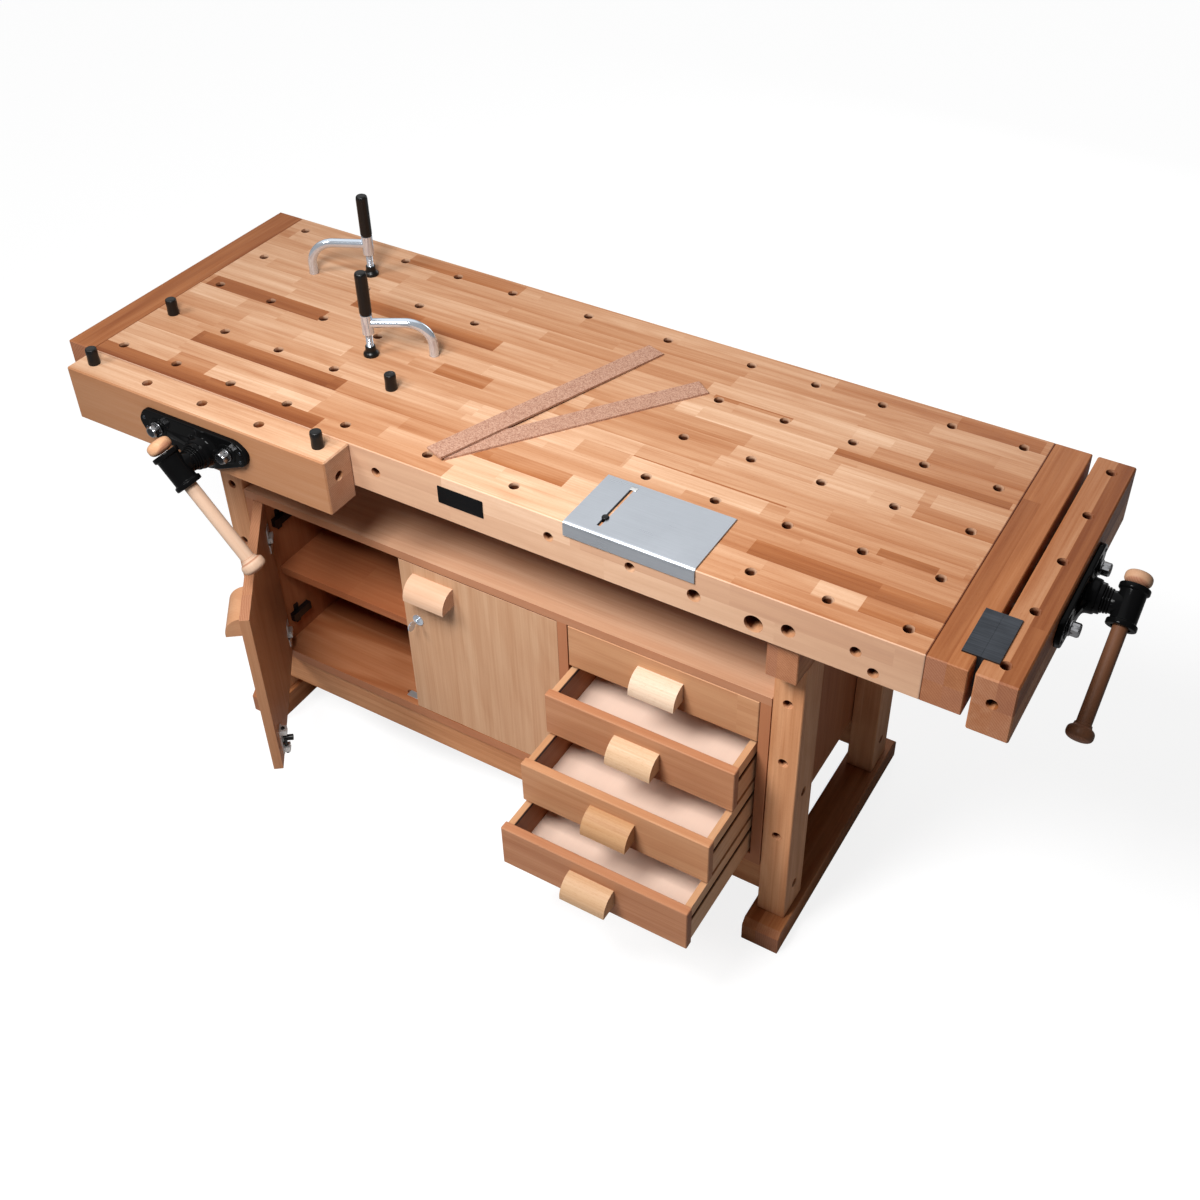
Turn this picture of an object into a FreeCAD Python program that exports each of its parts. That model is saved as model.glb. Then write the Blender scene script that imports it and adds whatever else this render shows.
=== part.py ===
import FreeCAD, Part
import os
from types import SimpleNamespace

import Sketcher
from FreeCAD import Placement, Rotation, Vector

doc = FreeCAD.newDocument("workbench")

# Driving dimensions in millimetres and degrees. They are measured from the left end of the
# worktop, its front face and the floor: x runs right, y runs back and z runs up.
sizes = {
    # worktop: a thin core between two deep rails, with a cap at the left end
    # and a block, the end vise's fixed jaw, at the right end
    "top_length": 1712.5,
    "top_depth": 600.0,
    "top_height": 873.0,
    "edge_thick": 91.0,
    "core_thick": 38.0,
    "rail_depth": 100.0,
    "cap_width": 62.0,
    "block_width": 65.0,
    "ease": 1.5,
    # dog holes, in rows along the bench and columns across it
    "dog_bore": 19.0,
    "first_row": 40.0,
    "left_column": 102.8,
    "left_pitch": 131.2,
    "right_column": 1154.0,
    "right_pitch": 129.25,
    # holes in the front face of the worktop
    "edge_hole_drop": 43.0,
    "edge_hole_low_drop": 72.0,
    "edge_hole_depth": 80.0,
    "edge_hole_1": 718.4,
    "edge_hole_2": 1068.5,
    "edge_hole_3": 1221.3,
    "edge_hole_4": 1607.8,
    "edge_hole_5": 1638.7,
    "spare_vise": 1417.3,
    # trestles
    "bay_width": 1140.0,
    "leg_width": 55.0,
    "leg_depth": 75.0,
    "leg_front": 56.0,
    "foot_width": 75.0,
    "foot_front": 14.0,
    "foot_height": 52.0,
    "foot_bevel": 12.0,
    "bearer_front": 15.5,
    "bearer_height": 85.0,
    "leg_hole_top_drop": 91.0,
    "leg_hole_middle_drop": 232.5,
    "leg_hole_low_drop": 424.5,
    "leg_hole_depth": 55.0,
    # stretchers and the bolts that hold the frame
    "stretcher_bottom": 105.0,
    "stretcher_height": 68.0,
    "stretcher_thick": 67.0,
    "stretcher_setback": 4.0,
    "frame_bolt_height": 118.0,
    "bolt_pocket_depth": 18.0,
    "bolt_shank": 10.0,
    "bolt_head": 15.0,
    "bolt_head_height": 8.0,
    "bolt_bite": 45.0,
    "case_bolt_bite": 14.0,
    # cabinet case
    "case_gap": 1.5,
    "case_headroom": 177.0,
    "case_bolt_drop": 233.0,
    "case_top_thick": 18.0,
    "case_bottom_thick": 22.0,
    "side_thick": 20.0,
    "back_thick": 8.0,
    "drawer_bay": 379.25,
    "shelf_rise": 197.0,
    "shelf_thick": 18.0,
    "shelf_setback": 34.0,
    # doors
    "door_thick": 18.0,
    "door_ease": 0.5,
    "door_gap": 1.5,
    "hinge_gap": 0.5,
    "left_door_angle": 52.7,
    "pull_length": 90.0,
    "pull_height": 40.0,
    "pull_depth": 36.0,
    "pull_round": 34.0,
    "pull_hollow": 10.0,
    "pull_from_edge": 76.0,
    "door_pull_drop": 44.0,
    # concealed hinges
    "hinge_high": 80.0,
    "hinge_low": 55.0,
    "cup_bore": 35.0,
    "cup_inset": 22.0,
    "cup_depth": 12.0,
    "cup_flange": 2.0,
    "cup_flange_width": 58.0,
    "cup_arm_rise": 8.0,
    "hinge_plate_setback": 34.0,
    "hinge_plate_length": 52.0,
    "hinge_plate_width": 18.0,
    "hinge_plate_rise": 11.0,
    "hinge_wing_height": 48.0,
    "hinge_wing_width": 12.0,
    "hinge_wing_thick": 2.5,
    # lock and bolt
    "lock_from_edge": 30.0,
    "lock_drop": 141.0,
    "lock_barrel": 17.0,
    "lock_rosette": 24.0,
    "rosette_thick": 1.5,
    "plug_bore": 9.6,
    "plug_clearance": 0.3,
    "key_reach": 20.0,
    "key_bow": 20.0,
    "key_thick": 2.4,
    "cam_length": 41.0,
    "cam_width": 13.0,
    "cam_thick": 2.5,
    "bolt_from_edge": 39.0,
    "bolt_low": 10.0,
    "bolt_length": 62.0,
    "bolt_width": 22.0,
    "bolt_case_thick": 3.0,
    "bolt_guide_height": 12.0,
    "bolt_guide_width": 16.0,
    "bolt_guide_depth": 11.0,
    "bolt_knob": 12.0,
    "bolt_knob_reach": 16.0,
    "bolt_rod": 7.0,
    "bolt_rise": 4.0,
    "bolt_travel": 12.0,
    "bolt_clearance": 0.5,
    # drawers
    "drawer_gap": 2.0,
    "drawer_side_thick": 12.0,
    "drawer_side_inset": 3.0,
    "drawer_side_drop": 5.0,
    "drawer_side_lift": 3.0,
    "drawer_back_gap": 18.0,
    "drawer_bottom_thick": 6.0,
    "drawer_bottom_rise": 8.0,
    "groove_rise": 52.0,
    "groove_height": 12.0,
    "groove_depth": 6.0,
    "runner_clearance": 0.5,
    "drawer_2_out": 82.0,
    "drawer_3_out": 167.0,
    "drawer_4_out": 240.0,
    # vises: one set of ironwork, used at the front and at the end
    "front_jaw_left": 66.4,
    "front_jaw_length": 600.6,
    "front_jaw_thick": 67.7,
    "front_jaw_gap": 0.3,
    "front_dog_line": 34.0,
    "front_guides": 370.0,
    "jaw_height": 112.0,
    "jaw_ease": 2.5,
    "end_jaw_thick": 65.6,
    "end_jaw_gap": 9.4,
    "end_jaw_margin": 37.0,
    "jaw_end_hole_drop": 46.0,
    "jaw_end_hole_depth": 60.0,
    "guide_drop": 52.0,
    "guide_half": 81.0,
    "guide_rod": 22.0,
    "guide_bore": 24.5,
    "guide_stud": 16.0,
    "guide_stud_reach": 30.0,
    "nut_radius": 13.8,
    "nut_height": 13.0,
    "washer_bore": 34.0,
    "washer_thick": 3.0,
    "screw_side": 23.0,
    "screw_low": 12.0,
    "screw_rod": 24.0,
    "screw_bore": 33.0,
    "screw_clearance": 0.5,
    "vise_travel": 140.0,
    "plate_half": 127.5,
    "plate_up": 31.0,
    "plate_down": 23.0,
    "plate_thick": 10.0,
    "plate_round": 9.0,
    "plate_edge_round": 2.5,
    "plate_shoulder_left": 25.0,
    "plate_shoulder_right": 15.0,
    "plate_shoulder_drop": 19.0,
    "plate_side_rise": 28.0,
    "plate_foot_left": 15.0,
    "plate_foot_right": 27.0,
    "plate_foot_rise": 9.0,
    "plate_side_taper": 5.5,
    "plate_belly": 50.0,
    "plate_belly_left": 20.0,
    "plate_belly_right": 22.0,
    "plate_belly_rise": 4.0,
    "plate_corner_right": 21.0,
    "plate_corner_drop": 7.0,
    "hub_base": 78.0,
    "hub_nose": 60.0,
    "hub_reach": 28.0,
    "ring_bore": 52.0,
    "ring_reach": 36.0,
    "rib_thick": 12.0,
    "rib_reach": 82.0,
    "collar_thick": 6.0,
    "collar_gap": 0.3,
    "retainer_bore": 31.0,
    "neck_bore": 38.0,
    "neck_ring_bore": 46.0,
    "neck_ring": 3.0,
    "neck_groove": 1.5,
    "neck_step": 1.0,
    "tee_reach": 75.0,
    "tee_bore": 44.0,
    "tee_flange": 56.0,
    "tee_flange_thick": 9.0,
    "tee_rim_round": 2.8,
    "tee_length": 74.0,
    "handle_rod": 28.0,
    "handle_clearance": 0.5,
    "handle_length": 235.0,
    "knob_bore": 52.0,
    "knob_length": 30.0,
    "knob_round": 12.0,
    "knob_socket": 16.0,
    "front_handle_angle": 40.6,
    "end_handle_angle": 54.0,
    "bracket_thick": 10.0,
    "bracket_up": 12.5,
    "sleeve_wall": 2.0,
    "sleeve_length": 50.0,
    "nut_boss": 44.0,
    # steel liners on the end vise's jaws
    "liner_gap": 0.3,
    "liner_flange": 28.5,
    "liner_flange_thick": 3.0,
    "liner_drop": 60.0,
    "liner_front": 33.5,
    "liner_length": 104.0,
    # bench dogs
    "dog_shank": 18.4,
    "dog_shank_length": 60.0,
    "dog_head": 22.0,
    "dog_height": 33.0,
    "dog_bevel": 2.0,
    "seat_gap": 0.3,
    # hold-downs
    "post_rod": 18.0,
    "post_depth": 58.0,
    "arm_height": 68.0,
    "arm_bend": 48.0,
    "arm_reach": 117.0,
    "sleeve_bore": 22.0,
    "sleeve_low": 47.0,
    "sleeve_high": 86.0,
    "spindle_rod": 13.0,
    "spindle_clearance": 0.3,
    "grip_bore": 23.0,
    "grip_length": 87.0,
    "grip_round": 3.0,
    "pad_bore": 29.0,
    "pad_height": 20.0,
    "pad_neck": 19.0,
    "pad_rim": 5.0,
    "hold_down_1_angle": 26.1,
    "hold_down_2_angle": 209.5,
    # steel plate on the front edge, with a slot and its clamp
    "sheet_left": 1098.5,
    "sheet_length": 239.0,
    "sheet_depth": 141.0,
    "sheet_thick": 3.0,
    "sheet_lip": 25.0,
    "sheet_bend": 4.0,
    "slot_from_left": 55.5,
    "slot_front": 17.0,
    "slot_back": 131.0,
    "slot_width": 7.0,
    "clamp_place": 39.0,
    "clamp_width": 15.0,
    "clamp_length": 11.0,
    "clamp_height": 5.0,
    "clamp_reach": 25.0,
    # cork strips lying on the worktop, one across the end of the other
    "strip_width": 40.0,
    "strip_thick": 4.0,
    "lower_strip_length": 492.0,
    "lower_strip_x": 822.0,
    "lower_strip_y": 52.0,
    "lower_strip_angle": 53.7,
    "upper_strip_length": 502.0,
    "upper_strip_x": 977.5,
    "upper_strip_y": 515.7,
    "upper_strip_angle": 251.3,
    "upper_strip_tip_angle": 0.66,
}

sheet = doc.addObject("Spreadsheet::Sheet", "dims")
for row, (name, number) in enumerate(sizes.items(), start=1):
    sheet.set(f"A{row}", name)
    sheet.set(f"B{row}", str(number))
    sheet.setAlias(f"B{row}", name)
doc.recompute()


class Size:
    """A number together with the sheet formula that gives it."""

    def __init__(self, value, text):
        self.value = value
        self.text = text

    def __add__(self, other):
        other = as_size(other)
        return Size(self.value + other.value, f"({self.text} + {other.text})")

    def __radd__(self, other):
        return as_size(other) + self

    def __sub__(self, other):
        other = as_size(other)
        return Size(self.value - other.value, f"({self.text} - {other.text})")

    def __rsub__(self, other):
        return as_size(other) - self

    def __mul__(self, other):
        other = as_size(other)
        return Size(self.value * other.value, f"({self.text} * {other.text})")

    def __rmul__(self, other):
        return as_size(other) * self

    def __truediv__(self, other):
        other = as_size(other)
        return Size(self.value / other.value, f"({self.text} / {other.text})")

    def __neg__(self):
        return Size(-self.value, f"(-1 * {self.text})")


def as_size(number):
    return number if isinstance(number, Size) else Size(float(number), repr(float(number)))


s = SimpleNamespace(**{name: Size(number, f"dims.{name}") for name, number in sizes.items()})

# The directions that a cylinder's axis can take.
up = Rotation()
frontward = Rotation(Vector(1, 0, 0), 90)
backward = Rotation(Vector(1, 0, 0), -90)
rightward = Rotation(Vector(0, 1, 0), 90)
leftward = Rotation(Vector(0, 1, 0), -90)
quarter_turn = Rotation(Vector(0, 0, 1), 90)


def bind(item, prop, size):
    item.setExpression(prop, as_size(size).text)


def put(item, at, turn=None):
    if turn is not None:
        item.Placement = Placement(Vector(), turn)
    for axis, size in zip("xyz", at):
        bind(item, f"Placement.Base.{axis}", size)
    return item


def lean(item, axis, angle):
    """Turns an item about its own origin by an angle of the sheet."""
    item.Placement = Placement(Vector(), Rotation(axis, as_size(angle).value))
    bind(item, "Placement.Rotation.Angle", angle)
    return item


def box(name, at, extent):
    item = doc.addObject("Part::Box", name)
    for prop, size in zip(("Length", "Width", "Height"), extent):
        bind(item, prop, size)
    return put(item, at)


def rod(name, at, across, length, turn=up):
    item = doc.addObject("Part::Cylinder", name)
    bind(item, "Radius", across / 2)
    bind(item, "Height", length)
    return put(item, at, turn)


def cone(name, at, across, across_end, length, turn=up):
    item = doc.addObject("Part::Cone", name)
    bind(item, "Radius1", across / 2)
    bind(item, "Radius2", across_end / 2)
    bind(item, "Height", length)
    return put(item, at, turn)


def group(name, items):
    item = doc.addObject("Part::Compound", name)
    item.Links = items
    return item


def fuse(name, items):
    item = doc.addObject("Part::MultiFuse", name)
    item.Shapes = items
    return item


def cut(name, base, tools):
    item = doc.addObject("Part::Cut", name)
    item.Base = base
    item.Tool = fuse(name + "_tools", tools) if len(tools) > 1 else tools[0]
    return item


def board(name, at, extent, ease, picks=None):
    """A board with eased edges: all of them, or those whose middle passes the test."""
    body = doc.addObject("PartDesign::Body", name)
    blank = body.newObject("PartDesign::AdditiveBox", name + "_blank")
    for prop, size in zip(("Length", "Width", "Height"), extent):
        bind(blank, prop, size)
    put(blank, at)
    doc.recompute()
    chamfer = body.newObject("PartDesign::Chamfer", name + "_eased")
    chamfer.Base = (blank, edge_names(blank, picks) if picks else [""])
    chamfer.UseAllEdges = picks is None
    bind(chamfer, "Size", ease)
    return body


def edge_names(feature, picks):
    return [
        f"Edge{number}"
        for number, edge in enumerate(feature.Shape.Edges, start=1)
        if picks(edge.valueAt((edge.FirstParameter + edge.LastParameter) / 2), edge)
    ]


def outline(body, name, plane, corners):
    """A closed sketch of straight lines on one of the body's own planes."""
    sketch = body.newObject("Sketcher::SketchObject", name)
    base = next(item for item in body.Origin.OriginFeatures if item.Role == plane)
    sketch.AttachmentSupport = [(base, "")]
    sketch.MapMode = "FlatFace"
    corners = [(as_size(across), as_size(high)) for across, high in corners]
    count = len(corners)
    for index, (across, high) in enumerate(corners):
        next_across, next_high = corners[(index + 1) % count]
        start = Vector(across.value, high.value, 0)
        sketch.addGeometry(Part.LineSegment(start, Vector(next_across.value, next_high.value, 0)))
    for index in range(count):
        sketch.addConstraint(Sketcher.Constraint("Coincident", index, 2, (index + 1) % count, 1))
    for index, (across, high) in enumerate(corners):
        for kind, size, axis in (("DistanceX", across, -2), ("DistanceY", high, -1)):
            if size.value == 0:
                sketch.addConstraint(Sketcher.Constraint("PointOnObject", index, 1, axis))
            else:
                number = sketch.addConstraint(Sketcher.Constraint(kind, -1, 1, index, 1, size.value))
                bind(sketch, f"Constraints[{number}]", size)
    return sketch


def turned(name, corners):
    """A body turned about its own z axis from a profile of radii and heights."""
    body = doc.addObject("PartDesign::Body", name)
    sketch = outline(body, name + "_profile", "XZ_Plane", corners)
    spin = body.newObject("PartDesign::Revolution", name + "_spin")
    spin.Profile = sketch
    spin.ReferenceAxis = (sketch, ["V_Axis"])
    spin.Angle = 360
    doc.recompute()
    return body


def milled(name, plane, corners, length, midplane=True):
    """A body of constant section, its profile on one plane and its length along the normal."""
    body = doc.addObject("PartDesign::Body", name)
    pad = body.newObject("PartDesign::Pad", name + "_pad")
    pad.Profile = outline(body, name + "_profile", plane, corners)
    pad.Midplane = midplane
    bind(pad, "Length", length)
    doc.recompute()
    return body


def rounded(body, radius, picks):
    """Rounds the edges of a body whose middle passes the test."""
    base = body.Tip
    fillet = body.newObject("PartDesign::Fillet", body.Name + "_round")
    fillet.Base = (base, edge_names(base, picks))
    bind(fillet, "Radius", radius)
    doc.recompute()
    return body


# Places that several pieces share.
block_end = s.top_length + s.block_width
top_middle = block_end / 2
under_edge = s.top_height - s.edge_thick
core_under = s.top_height - s.core_thick
bay_left = top_middle - s.bay_width / 2
bay_right = top_middle + s.bay_width / 2
leg_back = s.top_depth - s.leg_front
case_left = bay_left + s.case_gap
case_right = bay_right - s.case_gap
case_front = s.leg_front
case_back = leg_back - s.stretcher_setback
case_depth = case_back - case_front
case_floor = s.stretcher_bottom + s.stretcher_height
case_top = under_edge - s.case_headroom
case_bolt_height = case_top - s.case_bolt_drop
bay_floor = case_floor + s.case_bottom_thick
case_ceiling = case_top - s.case_top_thick
side_height = case_ceiling - bay_floor
drawer_right = case_right - s.side_thick
drawer_left = drawer_right - s.drawer_bay
divider_left = drawer_left - s.side_thick
cupboard_left = case_left + s.side_thick
cupboard_width = divider_left - cupboard_left
case_inner_back = case_back - s.back_thick
guide_height = s.top_height - s.guide_drop
end_jaw_left = block_end + s.end_jaw_gap
end_jaw_face = end_jaw_left + s.end_jaw_thick
front_face_of_drawer_4 = case_front - s.drawer_4_out

# The origin is the middle of the bench's outer box, on the floor.
middle_x = (end_jaw_face + s.tee_reach + s.tee_flange / 2) / 2
middle_y = (s.top_depth + front_face_of_drawer_4 - s.pull_depth) / 2


def node(name, item, at=(0, 0, 0), turn=None, angle=None, axis=None):
    """Names a finished sub-part and sets it from its own frame into the bench's frame."""
    if item.TypeId == "Part::Box":
        item = group(name + "_board", [item])
    if angle is not None:
        lean(item, axis, angle)
    item.Label = name
    put(item, (at[0] - middle_x, at[1] - middle_y, at[2]), turn)
    nodes[name] = item
    return item


nodes = {}

# ---------------------------------------------------------------- worktop
left_columns = [s.left_column + number * s.left_pitch for number in range(5)]
right_columns = [s.right_column + number * s.right_pitch for number in range(5)]
middle_step = (s.right_column - left_columns[-1]) / 3
middle_columns = [left_columns[-1] + number * middle_step for number in (1, 2)]
row_pitch = (s.top_depth - 2 * s.first_row) / 4
rows = [s.first_row + number * row_pitch for number in range(5)]
slab_left = s.cap_width
slab_length = s.top_length - s.cap_width


def upright_holes(name, columns, row_list, low, high):
    return [
        rod(f"{name}_{column_number}_{row_number}", (x, y, low - 1), s.dog_bore, high - low + 2)
        for column_number, x in enumerate(columns)
        for row_number, y in enumerate(row_list)
    ]


def vise_holes(name, centre, low_y, depth):
    """The two guide bores and the screw bore through a rail or jaw, drilled from the front."""
    at_y = low_y + depth + 1
    return [
        rod(f"{name}_left", (centre - s.guide_half, at_y, guide_height), s.guide_bore, depth + 2, frontward),
        rod(f"{name}_right", (centre + s.guide_half, at_y, guide_height), s.guide_bore, depth + 2, frontward),
        rod(
            f"{name}_screw",
            (centre + s.screw_side, at_y, guide_height - s.screw_low),
            s.screw_bore,
            depth + 2,
            frontward,
        ),
    ]


def long_rail(name, y, outer_y):
    """A rail along the bench, eased along its two outer edges."""
    return board(
        name,
        (slab_left, y, under_edge),
        (slab_length, s.rail_depth, s.edge_thick),
        s.ease,
        lambda middle, edge: abs(middle.y - outer_y.value) < 0.01 and edge.Length > s.rail_depth.value * 2,
    )


all_columns = left_columns + middle_columns + right_columns
edge_hole_height = s.top_height - s.edge_hole_drop
edge_holes = [
    rod(f"edge_hole_{number}_cut", (x, s.edge_hole_depth, z), s.dog_bore, s.edge_hole_depth + 1, frontward)
    for number, (x, z) in enumerate(
        (
            (s.edge_hole_1, edge_hole_height),
            (s.edge_hole_2, edge_hole_height),
            (s.edge_hole_3, edge_hole_height),
            (s.edge_hole_4, edge_hole_height),
            (s.edge_hole_5, s.top_height - s.edge_hole_low_drop),
        ),
        start=1,
    )
]
front_rail = cut(
    "front_rail",
    long_rail("front_rail_blank", 0, as_size(0)),
    upright_holes("front_dog", all_columns, rows[:1], under_edge, s.top_height)
    + edge_holes
    + vise_holes("front_vise_hole", s.front_guides, 0, s.rail_depth)
    + vise_holes("spare_vise_hole", s.spare_vise, 0, s.rail_depth),
)
back_rail = cut(
    "back_rail",
    long_rail("back_rail_blank", s.top_depth - s.rail_depth, s.top_depth),
    upright_holes("back_dog", all_columns, rows[4:], under_edge, s.top_height),
)
core = cut(
    "core",
    box(
        "core_blank",
        (slab_left, s.rail_depth, core_under),
        (slab_length, s.top_depth - 2 * s.rail_depth, s.core_thick),
    ),
    upright_holes("core_dog", left_columns + right_columns, rows[1:4], core_under, s.top_height),
)
node("worktop", group("worktop_solids", [front_rail, core, back_rail]))

node(
    "left_end_cap",
    board("left_cap_board", (0, 0, under_edge), (s.cap_width, s.top_depth, s.edge_thick), s.ease),
)


def across_vise_holes(name, start_x, length):
    """The end vise's two guide bores and its screw bore, drilled along the bench."""
    centre = s.top_depth / 2
    return [
        rod(f"{name}_near", (start_x - 1, centre - s.guide_half, guide_height), s.guide_bore, length + 2, rightward),
        rod(f"{name}_far", (start_x - 1, centre + s.guide_half, guide_height), s.guide_bore, length + 2, rightward),
        rod(
            f"{name}_screw",
            (start_x - 1, centre + s.screw_side, guide_height - s.screw_low),
            s.screw_bore,
            length + 2,
            rightward,
        ),
    ]


node(
    "right_end_block",
    cut(
        "right_block",
        board(
            "right_block_blank",
            (s.top_length, 0, under_edge),
            (s.block_width, s.top_depth, s.edge_thick),
            s.ease,
        ),
        across_vise_holes("block_vise_hole", s.top_length, s.block_width),
    ),
)

# ---------------------------------------------------------------- trestles
leg_lefts = [bay_left - s.leg_width, bay_right]
leg_fronts = [s.leg_front, leg_back - s.leg_depth]
leg_top = under_edge - s.bearer_height
foot_length = s.top_depth - 2 * s.foot_front


def foot(name, leg_left):
    """A sled foot, its two upper ends bevelled, set centrally under its legs."""
    rise = s.foot_height
    body = milled(
        name,
        "YZ_Plane",
        [
            (0, 0),
            (foot_length, 0),
            (foot_length, rise - s.foot_bevel),
            (foot_length - s.foot_bevel, rise),
            (s.foot_bevel, rise),
            (0, rise - s.foot_bevel),
        ],
        s.foot_width,
    )
    rounded(body, s.ease, lambda middle, edge: abs(abs(middle.x) - s.foot_width.value / 2) < 0.01)
    return put(body, (leg_left + s.leg_width / 2, s.foot_front, 0))


node("trestle_feet", group("feet", [foot(f"foot_{number}", x) for number, x in enumerate(leg_lefts)]))


def leg(name, x, y, outer_turn, from_front):
    """A leg with its stop holes in front and its bolt pockets on the outer side."""
    blank = board(name + "_blank", (x, y, s.foot_height), (s.leg_width, s.leg_depth, leg_top - s.foot_height), s.ease)
    tools = []
    middle = x + s.leg_width / 2
    if from_front:
        tools += [
            rod(f"{name}_stop_{index}", (middle, y + s.leg_hole_depth, leg_top - drop), s.dog_bore, s.leg_hole_depth + 1, frontward)
            for index, drop in enumerate((s.leg_hole_top_drop, s.leg_hole_middle_drop, s.leg_hole_low_drop))
        ]
    outer = x if outer_turn is rightward else x + s.leg_width
    step = -1 if outer_turn is rightward else 1
    for index, height in enumerate((s.frame_bolt_height, case_bolt_height)):
        at = (outer + step, y + s.leg_depth / 2, height)
        tools.append(rod(f"{name}_pocket_{index}", at, s.dog_bore, s.bolt_pocket_depth + 1, outer_turn))
        tools.append(rod(f"{name}_shank_{index}", at, s.bolt_shank, s.leg_width + 2, outer_turn))
    return cut(name, blank, tools)


node(
    "trestle_legs",
    group(
        "legs",
        [
            leg(f"leg_{side}_{end}", x, y, rightward if side == 0 else leftward, end == 0)
            for side, x in enumerate(leg_lefts)
            for end, y in enumerate(leg_fronts)
        ],
    ),
)
node(
    "trestle_bearers",
    group(
        "bearers",
        [
            board(
                f"bearer_{number}",
                (x, s.bearer_front, leg_top),
                (s.leg_width, s.top_depth - 2 * s.bearer_front, s.bearer_height),
                s.ease,
            )
            for number, x in enumerate(leg_lefts)
        ],
    ),
)

stretcher_lines = [s.leg_front + s.stretcher_setback, leg_back - s.stretcher_setback - s.stretcher_thick]
bolt_lines = [y + s.leg_depth / 2 for y in leg_fronts]


def stretcher(name, y):
    """A stretcher, drilled in each end for its frame bolt."""
    blank = box(
        name + "_blank", (bay_left, y, s.stretcher_bottom), (s.bay_width, s.stretcher_thick, s.stretcher_height)
    )
    line = y + s.stretcher_thick / 2
    return cut(
        name,
        blank,
        [
            rod(name + "_left_hole", (bay_left - 1, line, s.frame_bolt_height), s.bolt_shank, s.bolt_bite + 1, rightward),
            rod(name + "_right_hole", (bay_right + 1, line, s.frame_bolt_height), s.bolt_shank, s.bolt_bite + 1, leftward),
        ],
    )


node("stretchers", group("rails", [stretcher(f"stretcher_{number}", y) for number, y in enumerate(stretcher_lines)]))


def bolt(name, outer, y, height, bite, turn):
    """A cap-head bolt through a leg, its head at the bottom of the leg's pocket."""
    inward = 1 if turn is rightward else -1
    seat = outer + inward * s.bolt_pocket_depth
    return fuse(
        name,
        [
            rod(name + "_head", (seat - inward * s.bolt_head_height, y, height), s.bolt_head, s.bolt_head_height, turn),
            rod(name + "_shank", (seat, y, height), s.bolt_shank, s.leg_width - s.bolt_pocket_depth + bite, turn),
        ],
    )


node(
    "frame_bolts",
    group(
        "bolts",
        [
            bolt(f"bolt_{side}_{end}_{kind}", outer, y, height, bite, turn)
            for side, (outer, turn) in enumerate(((leg_lefts[0], rightward), (leg_lefts[1] + s.leg_width, leftward)))
            for end, y in enumerate(bolt_lines)
            for kind, (height, bite) in enumerate(
                ((s.frame_bolt_height, s.bolt_bite), (case_bolt_height, s.case_gap + s.case_bolt_bite))
            )
        ],
    ),
)

# ---------------------------------------------------------------- cabinet case
case_width = case_right - case_left
door_width = (cupboard_width - 2 * s.hinge_gap - s.door_gap) / 2
door_height = side_height - 2 * s.drawer_gap
door_bottom = bay_floor + s.drawer_gap
left_pivot = cupboard_left + s.hinge_gap
right_pivot = divider_left - s.hinge_gap
bolt_x = door_width - s.bolt_from_edge
bolt_y = s.door_thick + s.bolt_case_thick + s.bolt_clearance + s.bolt_rod / 2
hinge_heights = [s.hinge_low, door_height - s.hinge_high]

node("case_top", box("case_top_board", (case_left, case_front, case_ceiling), (case_width, case_depth, s.case_top_thick)))
node(
    "case_bottom",
    cut(
        "case_bottom_board",
        box("case_bottom_blank", (case_left, case_front, case_floor), (case_width, case_depth, s.case_bottom_thick)),
        [
            rod(
                "bolt_socket",
                (left_pivot + bolt_x, case_front + bolt_y, bay_floor - s.bolt_travel),
                s.bolt_rod + 4 * s.bolt_clearance,
                s.bolt_travel + 1,
            )
        ],
    ),
)


def case_side(name, x, inner_face, turn):
    """A side panel, drilled on its outer face for the two case bolts."""
    return cut(
        name,
        box(name + "_blank", (x, case_front, bay_floor), (s.side_thick, case_depth, side_height)),
        [
            rod(f"{name}_bolt_{end}", (inner_face, y, case_bolt_height), s.bolt_shank, s.case_bolt_bite + 1, turn)
            for end, y in enumerate(bolt_lines)
        ],
    )


node(
    "case_sides",
    group(
        "sides",
        [
            case_side("left_side", case_left, case_left - 1, rightward),
            case_side("right_side", drawer_right, case_right + 1, leftward),
        ],
    ),
)
inner_depth = case_depth - s.back_thick
node("case_divider", box("divider_board", (divider_left, case_front, bay_floor), (s.side_thick, inner_depth, side_height)))
node(
    "case_back",
    box("back_board", (cupboard_left, case_inner_back, bay_floor), (drawer_right - cupboard_left, s.back_thick, side_height)),
)
node(
    "case_shelf",
    box(
        "shelf_board",
        (cupboard_left, case_front + s.shelf_setback, bay_floor + s.shelf_rise - s.shelf_thick),
        (cupboard_width, inner_depth - s.shelf_setback, s.shelf_thick),
    ),
)


def hinge_plate(name, x, height, inward):
    """The fixed half of a concealed hinge: a low wing with an arm along it."""
    y = case_front + s.hinge_plate_setback
    arm_x = x if inward == 1 else x - s.hinge_plate_rise
    wing_x = x if inward == 1 else x - s.hinge_wing_thick
    return fuse(
        name,
        [
            box(
                name + "_arm",
                (arm_x, y, height - s.hinge_plate_width / 2),
                (s.hinge_plate_rise, s.hinge_plate_length, s.hinge_plate_width),
            ),
            box(
                name + "_wing",
                (wing_x, y + s.hinge_wing_width, height - s.hinge_wing_height / 2),
                (s.hinge_wing_thick, s.hinge_wing_width, s.hinge_wing_height),
            ),
        ],
    )


node(
    "hinge_plates",
    group(
        "hinge_plate_solids",
        [
            hinge_plate(f"hinge_plate_{side}_{level}", x, door_bottom + height, inward)
            for side, (x, inward) in enumerate(((cupboard_left, 1), (divider_left, -1)))
            for level, height in enumerate(hinge_heights)
        ],
    ),
)

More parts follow.
